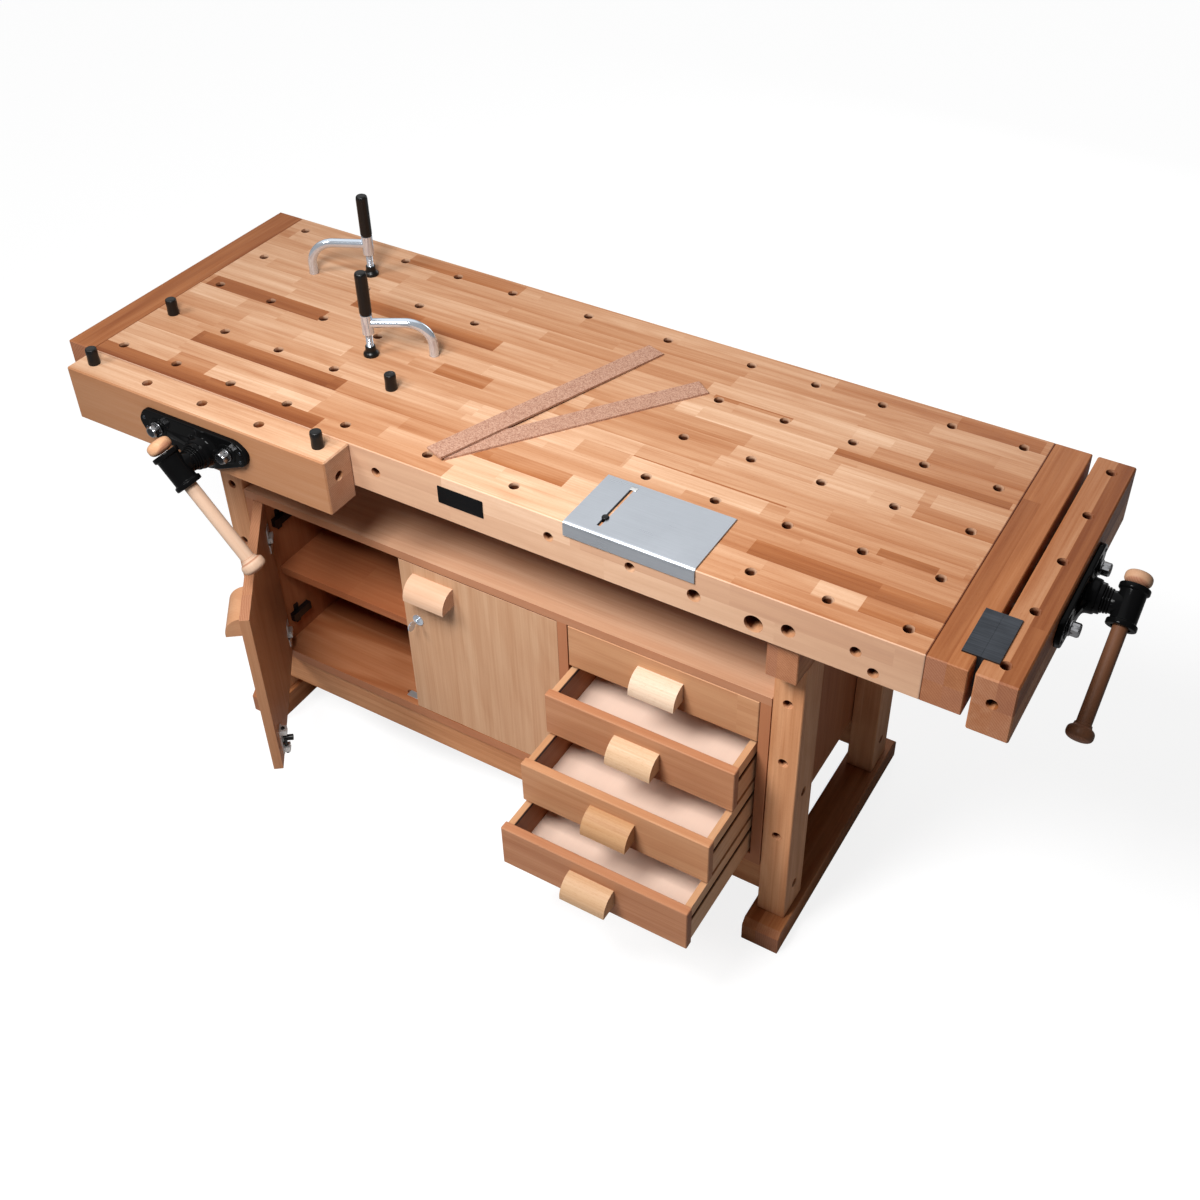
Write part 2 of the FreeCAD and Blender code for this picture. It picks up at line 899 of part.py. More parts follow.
# ---------------------------------------------------------------- drawers
drawer_pitch = (side_height - s.drawer_gap) / 4
drawer_front_height = drawer_pitch - s.drawer_gap
drawer_front_left = drawer_left + s.door_gap
drawer_front_width = s.drawer_bay - 2 * s.door_gap
box_front = case_front + s.door_thick
side_left = drawer_front_left + s.drawer_side_inset
side_right = drawer_front_left + drawer_front_width - s.drawer_side_inset - s.drawer_side_thick
runner_width = s.door_gap + s.drawer_side_inset + s.groove_depth - s.runner_clearance
runner_height = s.groove_height - 2 * s.runner_clearance
drawer_length = inner_depth - s.door_thick - s.drawer_back_gap
drawer_floors = [bay_floor + s.drawer_gap + number * drawer_pitch for number in (3, 2, 1, 0)]
drawer_outs = [as_size(0), s.drawer_2_out, s.drawer_3_out, s.drawer_4_out]

node(
    "drawer_runners",
    group(
        "runners",
        [
            box(
                f"runner_{side}_{level}",
                (x, box_front + 2, floor + s.groove_rise + s.runner_clearance),
                (runner_width, drawer_length - 6, runner_height),
            )
            for side, x in enumerate((drawer_left, drawer_right - runner_width))
            for level, floor in enumerate(drawer_floors)
        ],
    ),
)


def pull(name, x, y, height):
    """A pull with a round top and front, hollow underneath for the fingers."""
    body = milled(
        name + "_blank",
        "YZ_Plane",
        [
            (0, -s.pull_height / 2),
            (0, s.pull_height / 2),
            (-s.pull_depth, s.pull_height / 2),
            (-s.pull_depth, -s.pull_height / 2),
        ],
        s.pull_length,
    )
    rounded(
        body,
        s.pull_round,
        lambda middle, edge: abs(middle.y + s.pull_depth.value) < 0.01
        and abs(middle.z - s.pull_height.value / 2) < 0.01
        and edge.Length > s.pull_height.value,
    )
    put(body, (x, y, height))
    hollow = box(
        name + "_hollow",
        (x - s.pull_length / 2 + s.pull_hollow, y - s.pull_depth + s.pull_hollow, height - s.pull_height / 2 - 1),
        (s.pull_length - 2 * s.pull_hollow, s.pull_depth - 1.6 * s.pull_hollow, s.pull_height / 2 + 3),
    )
    return cut(name, body, [hollow])


for number, (floor, out) in enumerate(zip(drawer_floors, drawer_outs), start=1):
    name = f"drawer_{number}"
    side_floor = floor + s.drawer_side_lift
    box_height = drawer_front_height - s.drawer_side_lift - s.drawer_side_drop
    front = board(
        name + "_front_board",
        (drawer_front_left, case_front, floor),
        (drawer_front_width, s.door_thick, drawer_front_height),
        s.ease,
    )
    drawer_pull = pull(
        name + "_pull",
        drawer_front_left + drawer_front_width / 2,
        case_front,
        floor + drawer_front_height / 2,
    )
    node(f"drawer_front_{number}", group(name + "_front", [front, drawer_pull]), (0, -out, 0))

    sides = []
    for side, x in enumerate((side_left, side_right)):
        groove_x = x - 1 if side == 0 else x + s.drawer_side_thick - s.groove_depth
        sides.append(
            cut(
                f"{name}_side_{side}",
                box(
                    f"{name}_side_blank_{side}",
                    (x, box_front, side_floor),
                    (s.drawer_side_thick, drawer_length, box_height),
                ),
                [
                    box(
                        f"{name}_groove_{side}",
                        (groove_x, box_front - 1, floor + s.groove_rise),
                        (s.groove_depth + 1, drawer_length + 2, s.groove_height),
                    )
                ],
            )
        )
    inner_width = side_right - side_left - s.drawer_side_thick
    inner_left = side_left + s.drawer_side_thick
    back = box(
        name + "_back",
        (inner_left, box_front + drawer_length - s.drawer_side_thick, side_floor),
        (inner_width, s.drawer_side_thick, box_height),
    )
    bottom = box(
        name + "_bottom",
        (inner_left, box_front, side_floor + s.drawer_bottom_rise),
        (inner_width, drawer_length - s.drawer_side_thick, s.drawer_bottom_thick),
    )
    node(f"drawer_box_{number}", group(name + "_box", sides + [back, bottom]), (0, -out, 0))

# ---------------------------------------------------------------- doors
# Each door is drawn shut, its hinge line at its own origin, and then swung.


def door_leaf(name, x, side, holes):
    """A door with its two hinge cups' bores; side is 1 for a door that runs right from its hinge."""
    tools = [
        rod(f"{name}_cup_{level}", (side * s.cup_inset, s.door_thick + 1, height), s.cup_bore, s.cup_depth + 1, frontward)
        for level, height in enumerate(hinge_heights)
    ]
    return cut(
        name + "_leaf",
        board(name + "_board", (x, 0, 0), (door_width, s.door_thick, door_height), s.door_ease),
        tools + holes,
    )


def hinge_cup(name, side, height):
    """The moving half of a concealed hinge: a cup in the door, its flange and its arm."""
    shell = fuse(
        name + "_shell",
        [
            rod(
                name + "_cup",
                (side * s.cup_inset, s.door_thick, height),
                s.cup_bore,
                s.cup_depth,
                frontward,
            ),
            box(
                name + "_flange",
                (side * s.cup_inset - s.cup_bore / 3, s.door_thick, height - s.cup_flange_width / 2),
                (s.cup_bore / 1.5, s.cup_flange, s.cup_flange_width),
            ),
        ],
    )
    hollow = rod(
        name + "_hollow",
        (side * s.cup_inset, s.door_thick + s.cup_flange + 1, height),
        s.cup_bore - 2 * s.cup_flange,
        s.cup_depth + 1,
        frontward,
    )
    arm_length = s.cup_bore / 2 - 2 * s.cup_flange + s.cup_arm_rise
    arm_left = s.cup_inset + s.cup_arm_rise - arm_length if side == 1 else -s.cup_inset - s.cup_arm_rise
    arm = box(
        name + "_arm",
        (arm_left, s.door_thick - s.cup_depth + s.cup_flange * 1.5, height - s.hinge_plate_width / 3),
        (arm_length, s.cup_depth + s.cup_arm_rise - s.cup_flange * 1.5, s.hinge_plate_width / 1.5),
    )
    return fuse(name, [cut(name + "_bowl", shell, [hollow]), arm])


at_left_pivot = (left_pivot, case_front, door_bottom)
at_right_pivot = (right_pivot, case_front, door_bottom)
left_swing = {"angle": s.left_door_angle, "axis": Vector(0, 0, -1)}
pull_height = door_height - s.door_pull_drop
lock_x = s.lock_from_edge - door_width
lock_z = door_height - s.lock_drop

node("left_door", door_leaf("left_door", 0, 1, []), at_left_pivot, **left_swing)
node("left_door_pull", group("left_pull", [pull("left_pull_block", door_width - s.pull_from_edge, 0, pull_height)]), at_left_pivot, **left_swing)


def bolt_guide(name, low):
    return cut(
        name,
        box(
            name + "_block",
            (bolt_x - s.bolt_guide_width / 2, s.door_thick + s.bolt_case_thick, low),
            (s.bolt_guide_width, s.bolt_guide_depth, s.bolt_guide_height),
        ),
        [rod(name + "_bore", (bolt_x, bolt_y, low - 1), s.bolt_rod + 2 * s.bolt_clearance, s.bolt_guide_height + 2)],
    )


bolt_plate = box(
    "bolt_plate",
    (bolt_x - s.bolt_width / 2, s.door_thick, s.bolt_low),
    (s.bolt_width, s.bolt_case_thick, s.bolt_length),
)
bolt_top = s.bolt_low + s.bolt_length
bolt_case = fuse(
    "bolt_case",
    [
        bolt_plate,
        bolt_guide("bolt_guide_low", s.bolt_low + 2),
        bolt_guide("bolt_guide_high", bolt_top - 2 - s.bolt_guide_height),
    ],
)
node(
    "left_door_hardware",
    group("left_hardware", [hinge_cup(f"left_hinge_{level}", 1, height) for level, height in enumerate(hinge_heights)] + [bolt_case]),
    at_left_pivot,
    **left_swing,
)
node(
    "left_door_bolt",
    fuse(
        "bolt_and_knob",
        [
            rod("bolt_bar", (bolt_x, bolt_y, s.bolt_rise), s.bolt_rod, bolt_top - s.bolt_rise),
            rod(
                "bolt_knob_bar",
                (bolt_x, bolt_y, bolt_top - 4 - s.bolt_guide_height - s.bolt_knob),
                s.bolt_knob,
                s.bolt_knob_reach,
                backward,
            ),
        ],
    ),
    at_left_pivot,
    **left_swing,
)

lock_hole = rod("lock_hole", (lock_x, s.door_thick + 1, lock_z), s.lock_barrel, s.door_thick + 2, frontward)
node("right_door", door_leaf("right_door", -door_width, -1, [lock_hole]), at_right_pivot)
node("right_door_pull", group("right_pull", [pull("right_pull_block", s.pull_from_edge - door_width, 0, pull_height)]), at_right_pivot)
node(
    "right_door_hardware",
    group("right_hardware", [hinge_cup(f"right_hinge_{level}", -1, height) for level, height in enumerate(hinge_heights)]),
    at_right_pivot,
)
lock_back = s.door_thick + s.rosette_thick * 4
node(
    "door_lock",
    cut(
        "lock_body",
        fuse(
            "lock_solid",
            [
                rod("lock_barrel_rod", (lock_x, lock_back, lock_z), s.lock_barrel, lock_back, frontward),
                rod("lock_rosette_disc", (lock_x, 0, lock_z), s.lock_rosette, s.rosette_thick, frontward),
            ],
        ),
        [rod("plug_hole", (lock_x, lock_back + 1, lock_z), s.plug_bore, lock_back + s.rosette_thick + 2, frontward)],
    ),
    at_right_pivot,
)
plug_front = s.rosette_thick
plug_length = lock_back + s.collar_gap + s.cam_thick + plug_front
node(
    "lock_key",
    fuse(
        "key_and_cam",
        [
            rod(
                "lock_plug",
                (lock_x, lock_back + s.collar_gap + s.cam_thick, lock_z),
                s.plug_bore - 2 * s.plug_clearance,
                plug_length,
                frontward,
            ),
            box(
                "lock_cam",
                (lock_x - s.cam_width / 2, lock_back + s.collar_gap, lock_z - s.cam_width / 2),
                (s.cam_width, s.cam_thick, s.cam_length + s.cam_width / 2),
            ),
            box(
                "key_stem",
                (lock_x - s.key_thick / 2, -plug_front - s.key_reach / 2, lock_z - s.key_thick),
                (s.key_thick, s.key_reach / 2, 2 * s.key_thick),
            ),
            rod(
                "key_bow_disc",
                (lock_x - s.key_thick / 2, -plug_front - s.key_reach, lock_z),
                s.key_bow,
                s.key_thick,
                rightward,
            ),
        ],
    ),
    at_right_pivot,
)

# ---------------------------------------------------------------- vises
# The ironwork is drawn facing the jaw: x along it to the right, z up from the guides' line,
# and the jaw's outer face at y = 0. The end vise takes the same pieces, turned a quarter.


def near(number, size):
    return abs(number - as_size(size).value) < 0.01


def vise_plate(name):
    half, top, low = s.plate_half, s.plate_up, -s.plate_down
    body = doc.addObject("PartDesign::Body", name + "_casting")
    pad = body.newObject("PartDesign::Pad", name + "_pad")
    pad.Profile = outline(
        body,
        name + "_profile",
        "XZ_Plane",
        [
            (s.plate_shoulder_left - half, top),
            (half - s.plate_shoulder_right, top),
            (half, top - s.plate_shoulder_drop),
            (half - s.plate_side_taper, low + s.plate_foot_rise),
            (half - s.plate_foot_right, low),
            (s.screw_side + s.plate_belly_right, -s.plate_belly),
            (s.screw_side - s.plate_belly_left, s.plate_belly_rise - s.plate_belly),
            (s.plate_corner_right - s.guide_half, low - s.plate_corner_drop),
            (s.plate_foot_left - half, low),
            (-half, low + s.plate_side_rise),
        ],
    )
    bind(pad, "Length", s.plate_thick)
    doc.recompute()
    rounded(body, s.plate_round, lambda middle, edge: near(edge.Length, s.plate_thick))
    rounded(body, s.plate_edge_round, lambda middle, edge: near(-middle.y, s.plate_thick))
    hub = (s.screw_side, -s.screw_low)
    rib_outer = s.plate_thick - 1
    ribs = []
    for side in (-1, 1):
        reach = s.rib_reach if side == -1 else s.rib_reach / 1.9
        rib = milled(
            f"{name}_rib_{side + 1}",
            "XY_Plane",
            [
                (0, -rib_outer),
                (0, -s.hub_reach),
                (side * s.hub_nose / 2.4, -s.hub_reach),
                (side * reach, -rib_outer),
            ],
            s.rib_thick,
        )
        ribs.append(put(rib, (hub[0], 0, hub[1] + s.rib_thick)))
    crest = milled(
        name + "_crest",
        "YZ_Plane",
        [
            (-rib_outer, 0),
            (-rib_outer, s.plate_up + s.screw_low - 3),
            (-s.plate_thick - 3, s.plate_up + s.screw_low - 3),
            (-s.hub_reach, s.hub_nose / 2.4),
            (-s.hub_reach, 0),
        ],
        s.rib_thick * 1.5,
    )
    put(crest, (hub[0], 0, hub[1]))
    casting = fuse(
        name + "_solid",
        [
            body,
            cone(name + "_hub", (hub[0], -rib_outer, hub[1]), s.hub_base, s.hub_nose, s.hub_reach - rib_outer, frontward),
            rod(name + "_ring", (hub[0], -s.hub_reach + 1, hub[1]), s.ring_bore, s.ring_reach - s.hub_reach + 1, frontward),
            crest,
        ]
        + ribs
        + [
            rod(f"{name}_boss_{side + 1}", (side * s.guide_half, -rib_outer, 0), s.washer_bore + 4, 2, frontward)
            for side in (-1, 1)
        ],
    )
    bores = [
        rod(f"{name}_stud_{side + 1}", (side * s.guide_half, 1, 0), s.guide_stud, s.hub_reach, frontward) for side in (-1, 1)
    ]
    bores.append(
        rod(name + "_screw_bore", (hub[0], 1, hub[1]), s.screw_rod + 2 * s.screw_clearance, s.ring_reach + 2, frontward)
    )
    return cut(name, casting, bores)


def guide_rods(name, reach):
    """The two guides, each with its stud, washer and nut outside the plate."""
    washer_at = s.plate_thick + 1
    pieces = []
    for side in (-1, 1):
        x = side * s.guide_half
        tag = f"{name}_{side + 1}"
        pieces.append(
            fuse(
                tag,
                [
                    rod(tag + "_bar", (x, reach, 0), s.guide_rod, reach, frontward),
                    rod(tag + "_stud", (x, 0, 0), s.guide_stud, s.guide_stud_reach - 1, frontward),
                    rod(tag + "_washer", (x, -washer_at, 0), s.washer_bore, s.washer_thick, frontward),
                    nut(tag + "_nut", (x, -washer_at - s.washer_thick, 0)),
                ],
            )
        )
    return group(name, pieces)


def nut(name, at):
    item = doc.addObject("Part::Prism", name)
    item.Polygon = 6
    bind(item, "Circumradius", s.nut_radius)
    bind(item, "Height", s.nut_height)
    return put(item, at, frontward)


def button(name, radius, length, ease):
    """A short round with both its edges rounded, standing on its own origin."""
    body = turned(name, [(0, 0), (radius, 0), (radius, length), (0, length)])
    return rounded(
        body,
        ease,
        lambda middle, edge: near((middle.x**2 + middle.y**2) ** 0.5, radius) and (near(middle.z, 0) or near(middle.z, length)),
    )


def neck(name, length):
    """The neck behind the cross head: three rings, each a step smaller, then a smooth barrel."""
    radius = s.neck_bore / 2
    profile = [(0, 0)]
    for number in range(3):
        low = number * (s.neck_ring + s.neck_groove)
        ring = s.neck_ring_bore / 2 - number * s.neck_step
        if number:
            profile.append((radius, low))
        profile += [(ring, low), (ring, low + s.neck_ring), (radius, low + s.neck_ring)]
    return turned(name, profile + [(radius, length), (0, length)])


def vise_screw(name, reach, angle):
    """The screw with its retaining collar, neck and cross head, leaned as it stands at rest."""
    rim = s.tee_flange / 2
    solid = fuse(
        name + "_solid",
        [
            rod(name + "_shaft", (0, reach, 0), s.screw_rod, reach + s.tee_reach, frontward),
            rod(name + "_collar", (0, s.collar_gap + s.collar_thick, 0), s.retainer_bore, s.collar_thick, frontward),
            put(
                neck(name + "_neck", s.tee_reach - s.ring_reach - s.collar_gap),
                (0, -s.ring_reach - s.collar_gap, 0),
                frontward,
            ),
            rod(name + "_head", (0, -s.tee_reach, -s.tee_length / 2), s.tee_bore, s.tee_length),
            put(button(name + "_rim_low", rim, s.tee_flange_thick, s.tee_rim_round), (0, -s.tee_reach, -s.tee_length / 2)),
            put(
                button(name + "_rim_high", rim, s.tee_flange_thick, s.tee_rim_round),
                (0, -s.tee_reach, s.tee_length / 2 - s.tee_flange_thick),
            ),
        ],
    )
    bore = rod(
        name + "_bore",
        (0, -s.tee_reach, -s.tee_length / 2 - 1),
        s.handle_rod + 2 * s.handle_clearance,
        s.tee_length + 2,
    )
    return group(name, [lean(cut(name + "_part", solid, [bore]), Vector(0, 1, 0), angle)])


def knob(name, height, socket_height):
    body = button(name + "_ball", s.knob_bore / 2, s.knob_length, s.knob_round)
    put(body, (0, -s.tee_reach, height))
    return cut(
        name,
        body,
        [rod(name + "_socket", (0, -s.tee_reach, socket_height), s.handle_rod, s.knob_socket)],
    )


def vise_handle(name, angle):
    """The handle, let down until its upper knob rests on the cross head."""
    high = s.tee_length / 2 + s.collar_gap
    low = high - s.handle_length
    pieces = [
        rod(name + "_bar", (0, -s.tee_reach, low - s.knob_socket), s.handle_rod, s.handle_length + 2 * s.knob_socket),
        knob(name + "_knob_high", high, high),
        knob(name + "_knob_low", low - s.knob_length, low - s.knob_socket),
    ]
    return group(name, [lean(group(name + "_pieces", pieces), Vector(0, 1, 0), angle)])


def vise_bracket(name, y):
    """The nut plate behind the rail, with its two guide sleeves and the screw's nut."""
    half = s.guide_half + s.guide_rod
    height = s.guide_drop - s.core_thick
    drop = s.edge_thick - s.guide_drop
    hub = (s.screw_side, -s.screw_low)
    end = y + s.bracket_thick + s.sleeve_length
    length = s.bracket_thick + s.sleeve_length
    guide_bore = s.guide_rod + 2 * s.screw_clearance
    solid = fuse(
        name + "_solid",
        [
            box(name + "_plate", (-half, y, 1 - drop), (2 * half, s.bracket_thick, height + drop - 2)),
            rod(name + "_nut_boss", (hub[0], end, hub[1]), s.nut_boss, length, frontward),
        ]
        + [
            rod(f"{name}_sleeve_{side + 1}", (side * s.guide_half, end, 0), guide_bore + 2 * s.sleeve_wall, length, frontward)
            for side in (-1, 1)
        ],
    )
    bores = [
        rod(f"{name}_guide_{side + 1}", (side * s.guide_half, end + 1, 0), guide_bore, length + 2, frontward)
        for side in (-1, 1)
    ]
    bores.append(
        rod(name + "_nut_bore", (hub[0], end + 1, hub[1]), s.screw_rod + 2 * s.screw_clearance, length + 2, frontward)
    )
    return cut(name, solid, bores)


def screw_place(at, along):
    """Moves a vise's own origin to its screw line; along is the jaw's direction."""
    return (at[0] + along[0] * s.screw_side, at[1] + along[1] * s.screw_side, at[2] - s.screw_low)


front_jaw_face = -s.front_jaw_gap - s.front_jaw_thick
front_vise = (s.front_guides, front_jaw_face, guide_height)
front_depth = s.front_jaw_gap + s.front_jaw_thick + s.rail_depth
end_vise = (end_jaw_face, s.top_depth / 2, guide_height)
end_depth = s.block_width + s.end_jaw_gap + s.end_jaw_thick
beyond = s.bracket_thick + s.sleeve_length + s.vise_travel + 10
jaw_floor = s.top_height - s.jaw_height

front_jaw_right = s.front_jaw_left + s.front_jaw_length
node(
    "front_jaw",
    cut(
        "front_jaw_board",
        board(
            "front_jaw_blank",
            (s.front_jaw_left, front_jaw_face, jaw_floor),
            (s.front_jaw_length, s.front_jaw_thick, s.jaw_height),
            s.jaw_ease,
        ),
        upright_holes("front_jaw_dog", left_columns, [-s.front_dog_line], jaw_floor, s.top_height)
        + vise_holes("front_jaw_hole", s.front_guides, front_jaw_face, s.front_jaw_thick)
        + [
            rod(
                "front_jaw_end_hole",
                (front_jaw_right + 1, -s.front_dog_line - 2, s.top_height - s.jaw_end_hole_drop),
                s.dog_bore,
                s.jaw_end_hole_depth + 1,
                leftward,
            )
        ],
    ),
)
node("front_vise_plate", vise_plate("front_plate"), front_vise)
node("front_guide_rods", guide_rods("front_rods", front_depth + beyond), front_vise)
node("front_vise_screw", vise_screw("front_screw", front_depth + beyond, -s.front_handle_angle), screw_place(front_vise, (1, 0)))
node("front_handle", vise_handle("front_bar", -s.front_handle_angle), screw_place(front_vise, (1, 0)))
node("front_vise_bracket", vise_bracket("front_bracket", front_depth), front_vise)

end_jaw_pitch = (s.top_depth - 2 * s.end_jaw_margin) / 4
end_dog_rows = [s.end_jaw_margin + number * end_jaw_pitch for number in range(5)]
end_dog_line = end_jaw_left + s.end_jaw_thick / 2
node(
    "end_jaw",
    cut(
        "end_jaw_board",
        board(
            "end_jaw_blank",
            (end_jaw_left, 0, jaw_floor),
            (s.end_jaw_thick, s.top_depth, s.jaw_height),
            s.jaw_ease,
        ),
        upright_holes("end_jaw_dog", [end_dog_line], end_dog_rows, jaw_floor, s.top_height)
        + across_vise_holes("end_jaw_hole", end_jaw_left, s.end_jaw_thick)
        + [
            rod(
                "end_jaw_end_hole",
                (end_dog_line - 1, -1, s.top_height - s.jaw_end_hole_drop),
                s.dog_bore,
                s.jaw_end_hole_depth + 1,
                backward,
            )
        ],
    ),
)
node("end_vise_plate", vise_plate("end_plate"), end_vise, quarter_turn)
node("end_guide_rods", guide_rods("end_rods", end_depth + beyond), end_vise, quarter_turn)
node("end_vise_screw", vise_screw("end_screw", end_depth + beyond, s.end_handle_angle), screw_place(end_vise, (0, 1)), quarter_turn)
node("end_handle", vise_handle("end_bar", s.end_handle_angle), screw_place(end_vise, (0, 1)), quarter_turn)
node("end_vise_bracket", vise_bracket("end_bracket", end_depth), end_vise, quarter_turn)


def liner(name, leg_left, flange_left):
    """A steel liner: a leg down the jaw's face and a flange on its top."""
    top = s.top_height + s.liner_flange_thick
    return fuse(
        name,
        [
            box(
                name + "_leg",
                (leg_left, s.liner_front, s.top_height - s.liner_drop),
                (liner_leg, s.liner_length, s.liner_drop + s.liner_flange_thick),
            ),
            box(
                name + "_flange",
                (flange_left, s.liner_front, top - s.liner_flange_thick),
                (s.liner_flange, s.liner_length, s.liner_flange_thick),
            ),
        ],
    )


liner_leg = (s.end_jaw_gap - s.liner_gap) / 2
node("fixed_jaw_liner", liner("fixed_liner", block_end, block_end + liner_leg - s.liner_flange))
node("moving_jaw_liner", liner("moving_liner", end_jaw_left - liner_leg, end_jaw_left - liner_leg))

# ---------------------------------------------------------------- bench dogs
shank = s.dog_shank / 2
head = s.dog_head / 2
for number, (x, y) in enumerate(
    (
        (left_columns[0], rows[1]),
        (left_columns[-1], rows[1]),
        (left_columns[0], -s.front_dog_line),
        (left_columns[-1], -s.front_dog_line),
    ),
    start=1,
):
    node(
        f"dog_{number}",
        turned(
            f"dog_{number}_peg",
            [
                (0, -s.dog_shank_length),
                (shank - s.dog_bevel, -s.dog_shank_length),
                (shank, s.dog_bevel - s.dog_shank_length),
                (shank, s.seat_gap),
                (head, s.seat_gap),
                (head, s.dog_height - s.dog_bevel),
                (head - s.dog_bevel, s.dog_height),
                (0, s.dog_height),
            ],
        ),
        (x, y, s.top_height),
    )

# ---------------------------------------------------------------- hold-downs
spindle_bore = s.spindle_rod + 2 * s.spindle_clearance
socket_floor = s.seat_gap + s.pad_height / 2
for number, (x, y, turn) in enumerate(
    (
        (left_columns[1], rows[3], s.hold_down_1_angle),
        (left_columns[-1], rows[2], s.hold_down_2_angle),
    ),
    start=1,
):
    name = f"hold_down_{number}"
    place = {"at": (x, y, s.top_height), "angle": turn, "axis": Vector(0, 0, 1)}
    bend = doc.addObject("Part::Torus", name + "_bend")
    bind(bend, "Radius1", s.arm_bend)
    bind(bend, "Radius2", s.post_rod / 2)
    bend.Angle3 = 90
    put(bend, (s.arm_bend, 0, s.arm_height - s.arm_bend), Rotation(Vector(0, 0, 1), 180) * Rotation(Vector(1, 0, 0), 90))
    arm_solid = fuse(
        name + "_arm_solid",
        [
            rod(name + "_post", (0, 0, -s.post_depth), s.post_rod, s.post_depth + s.arm_height - s.arm_bend),
            bend,
            rod(name + "_bar", (s.arm_bend, 0, s.arm_height), s.post_rod, s.arm_reach - s.arm_bend, rightward),
            rod(name + "_sleeve", (s.arm_reach, 0, s.sleeve_low), s.sleeve_bore, s.sleeve_high - s.sleeve_low),
        ],
    )
    arm_bore = rod(name + "_bore", (s.arm_reach, 0, s.sleeve_low - 1), spindle_bore, s.sleeve_high - s.sleeve_low + 2)
    node(name + "_arm", cut(name + "_arm_part", arm_solid, [arm_bore]), **place)

    grip_low = s.sleeve_high + s.seat_gap
    grip_high = grip_low + s.grip_length
    radius = s.grip_bore / 2
    spindle = s.spindle_rod / 2
    handle = turned(
        name + "_turning",
        [
            (0, socket_floor),
            (spindle, socket_floor),
            (spindle, grip_low),
            (radius - s.grip_round, grip_low),
            (radius, grip_low + s.grip_round),
            (radius, grip_high - s.grip_round),
            (radius - s.grip_round, grip_high),
            (0, grip_high),
        ],
    )
    put(handle, (s.arm_reach, 0, 0))
    node(name + "_spindle", group(name + "_spindle_part", [handle]), **place)

    pad_radius = s.pad_bore / 2
    pad_top = s.seat_gap + s.pad_height
    foot_pad = turned(
        name + "_pad",
        [
            (0, s.seat_gap),
            (pad_radius, s.seat_gap),
            (pad_radius, s.seat_gap + s.pad_rim),
            (s.pad_neck / 2, pad_top - 2),
            (s.pad_neck / 2, pad_top),
            (0, pad_top),
        ],
    )
    put(foot_pad, (s.arm_reach, 0, 0))
    socket = rod(name + "_socket", (s.arm_reach, 0, socket_floor - s.spindle_clearance), spindle_bore, s.pad_height)
    node(name + "_foot", cut(name + "_foot_part", foot_pad, [socket]), **place)

# ---------------------------------------------------------------- loose steel and cork on the top
plate_middle = s.sheet_left + s.sheet_length / 2
lip = milled(
    "sheet_blank",
    "YZ_Plane",
    [
        (0, -s.sheet_lip),
        (-s.sheet_thick, -s.sheet_lip),
        (-s.sheet_thick, s.sheet_thick),
        (s.sheet_depth, s.sheet_thick),
        (s.sheet_depth, 0),
        (0, 0),
    ],
    s.sheet_length,
)
rounded(
    lip,
    s.sheet_bend,
    lambda middle, edge: near(edge.Length, s.sheet_length) and near(-middle.y, s.sheet_thick) and near(middle.z, s.sheet_thick),
)
put(lip, (plate_middle, 0, s.top_height))
slot_x = s.sheet_left + s.slot_from_left
slot_low = s.top_height - 1
node(
    "steel_plate",
    cut(
        "steel_sheet",
        lip,
        [
            box(
                "slot_cut",
                (slot_x - s.slot_width / 2, s.slot_front + s.slot_width / 2, slot_low),
                (s.slot_width, s.slot_back - s.slot_front - s.slot_width, s.sheet_thick + 2),
            ),
            rod("slot_front_end", (slot_x, s.slot_front + s.slot_width / 2, slot_low), s.slot_width, s.sheet_thick + 2),
            rod("slot_back_end", (slot_x, s.slot_back - s.slot_width / 2, slot_low), s.slot_width, s.sheet_thick + 2),
        ],
    ),
)
clamp_low = s.top_height + s.sheet_thick
node(
    "plate_clamp",
    fuse(
        "clamp_solid",
        [
            box(
                "clamp_block",
                (slot_x - s.clamp_width / 2, s.clamp_place - s.clamp_length / 2, clamp_low),
                (s.clamp_width, s.clamp_length, s.clamp_height),
            ),
            rod("clamp_stem", (slot_x, s.clamp_place, clamp_low - s.clamp_reach), s.slot_width - 1, s.clamp_reach + 1),
        ],
    ),
)


def strip(name, length, x, y, turn, tip):
    """A cork strip laid on the top from one end of its centre line, tipped up at the other end."""
    flat = box(name + "_flat", (0, -s.strip_width / 2, 0), (length, s.strip_width, s.strip_thick))
    tipped = lean(group(name + "_tipped", [flat]), Vector(0, -1, 0), tip)
    return put(lean(group(name, [tipped]), Vector(0, 0, 1), turn), (x, y, s.top_height))


node(
    "cork_strips",
    group(
        "strips",
        [
            strip("lower_strip", s.lower_strip_length, s.lower_strip_x, s.lower_strip_y, s.lower_strip_angle, as_size(0)),
            strip(
                "upper_strip",
                s.upper_strip_length,
                s.upper_strip_x,
                s.upper_strip_y,
                s.upper_strip_angle,
                s.upper_strip_tip_angle,
            ),
        ],
    ),
)

doc.recompute()
failed = [item.Label for item in doc.Objects if "Invalid" in item.State or "Error" in item.State]
if failed:
    raise RuntimeError(f"failed: {failed}")
os.makedirs("parts", exist_ok=True)
for name, item in nodes.items():
    if item.Shape.isNull() or not item.Shape.isValid():
        raise RuntimeError(f"bad shape: {name}")
    item.Shape.exportStep(f"parts/{name}.step")
print(f"{len(nodes)} sub-parts written")
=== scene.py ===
from math import cos, pi, radians, sin, tau

import bmesh
import bpy
import numpy as np
from mathutils import Matrix, Vector


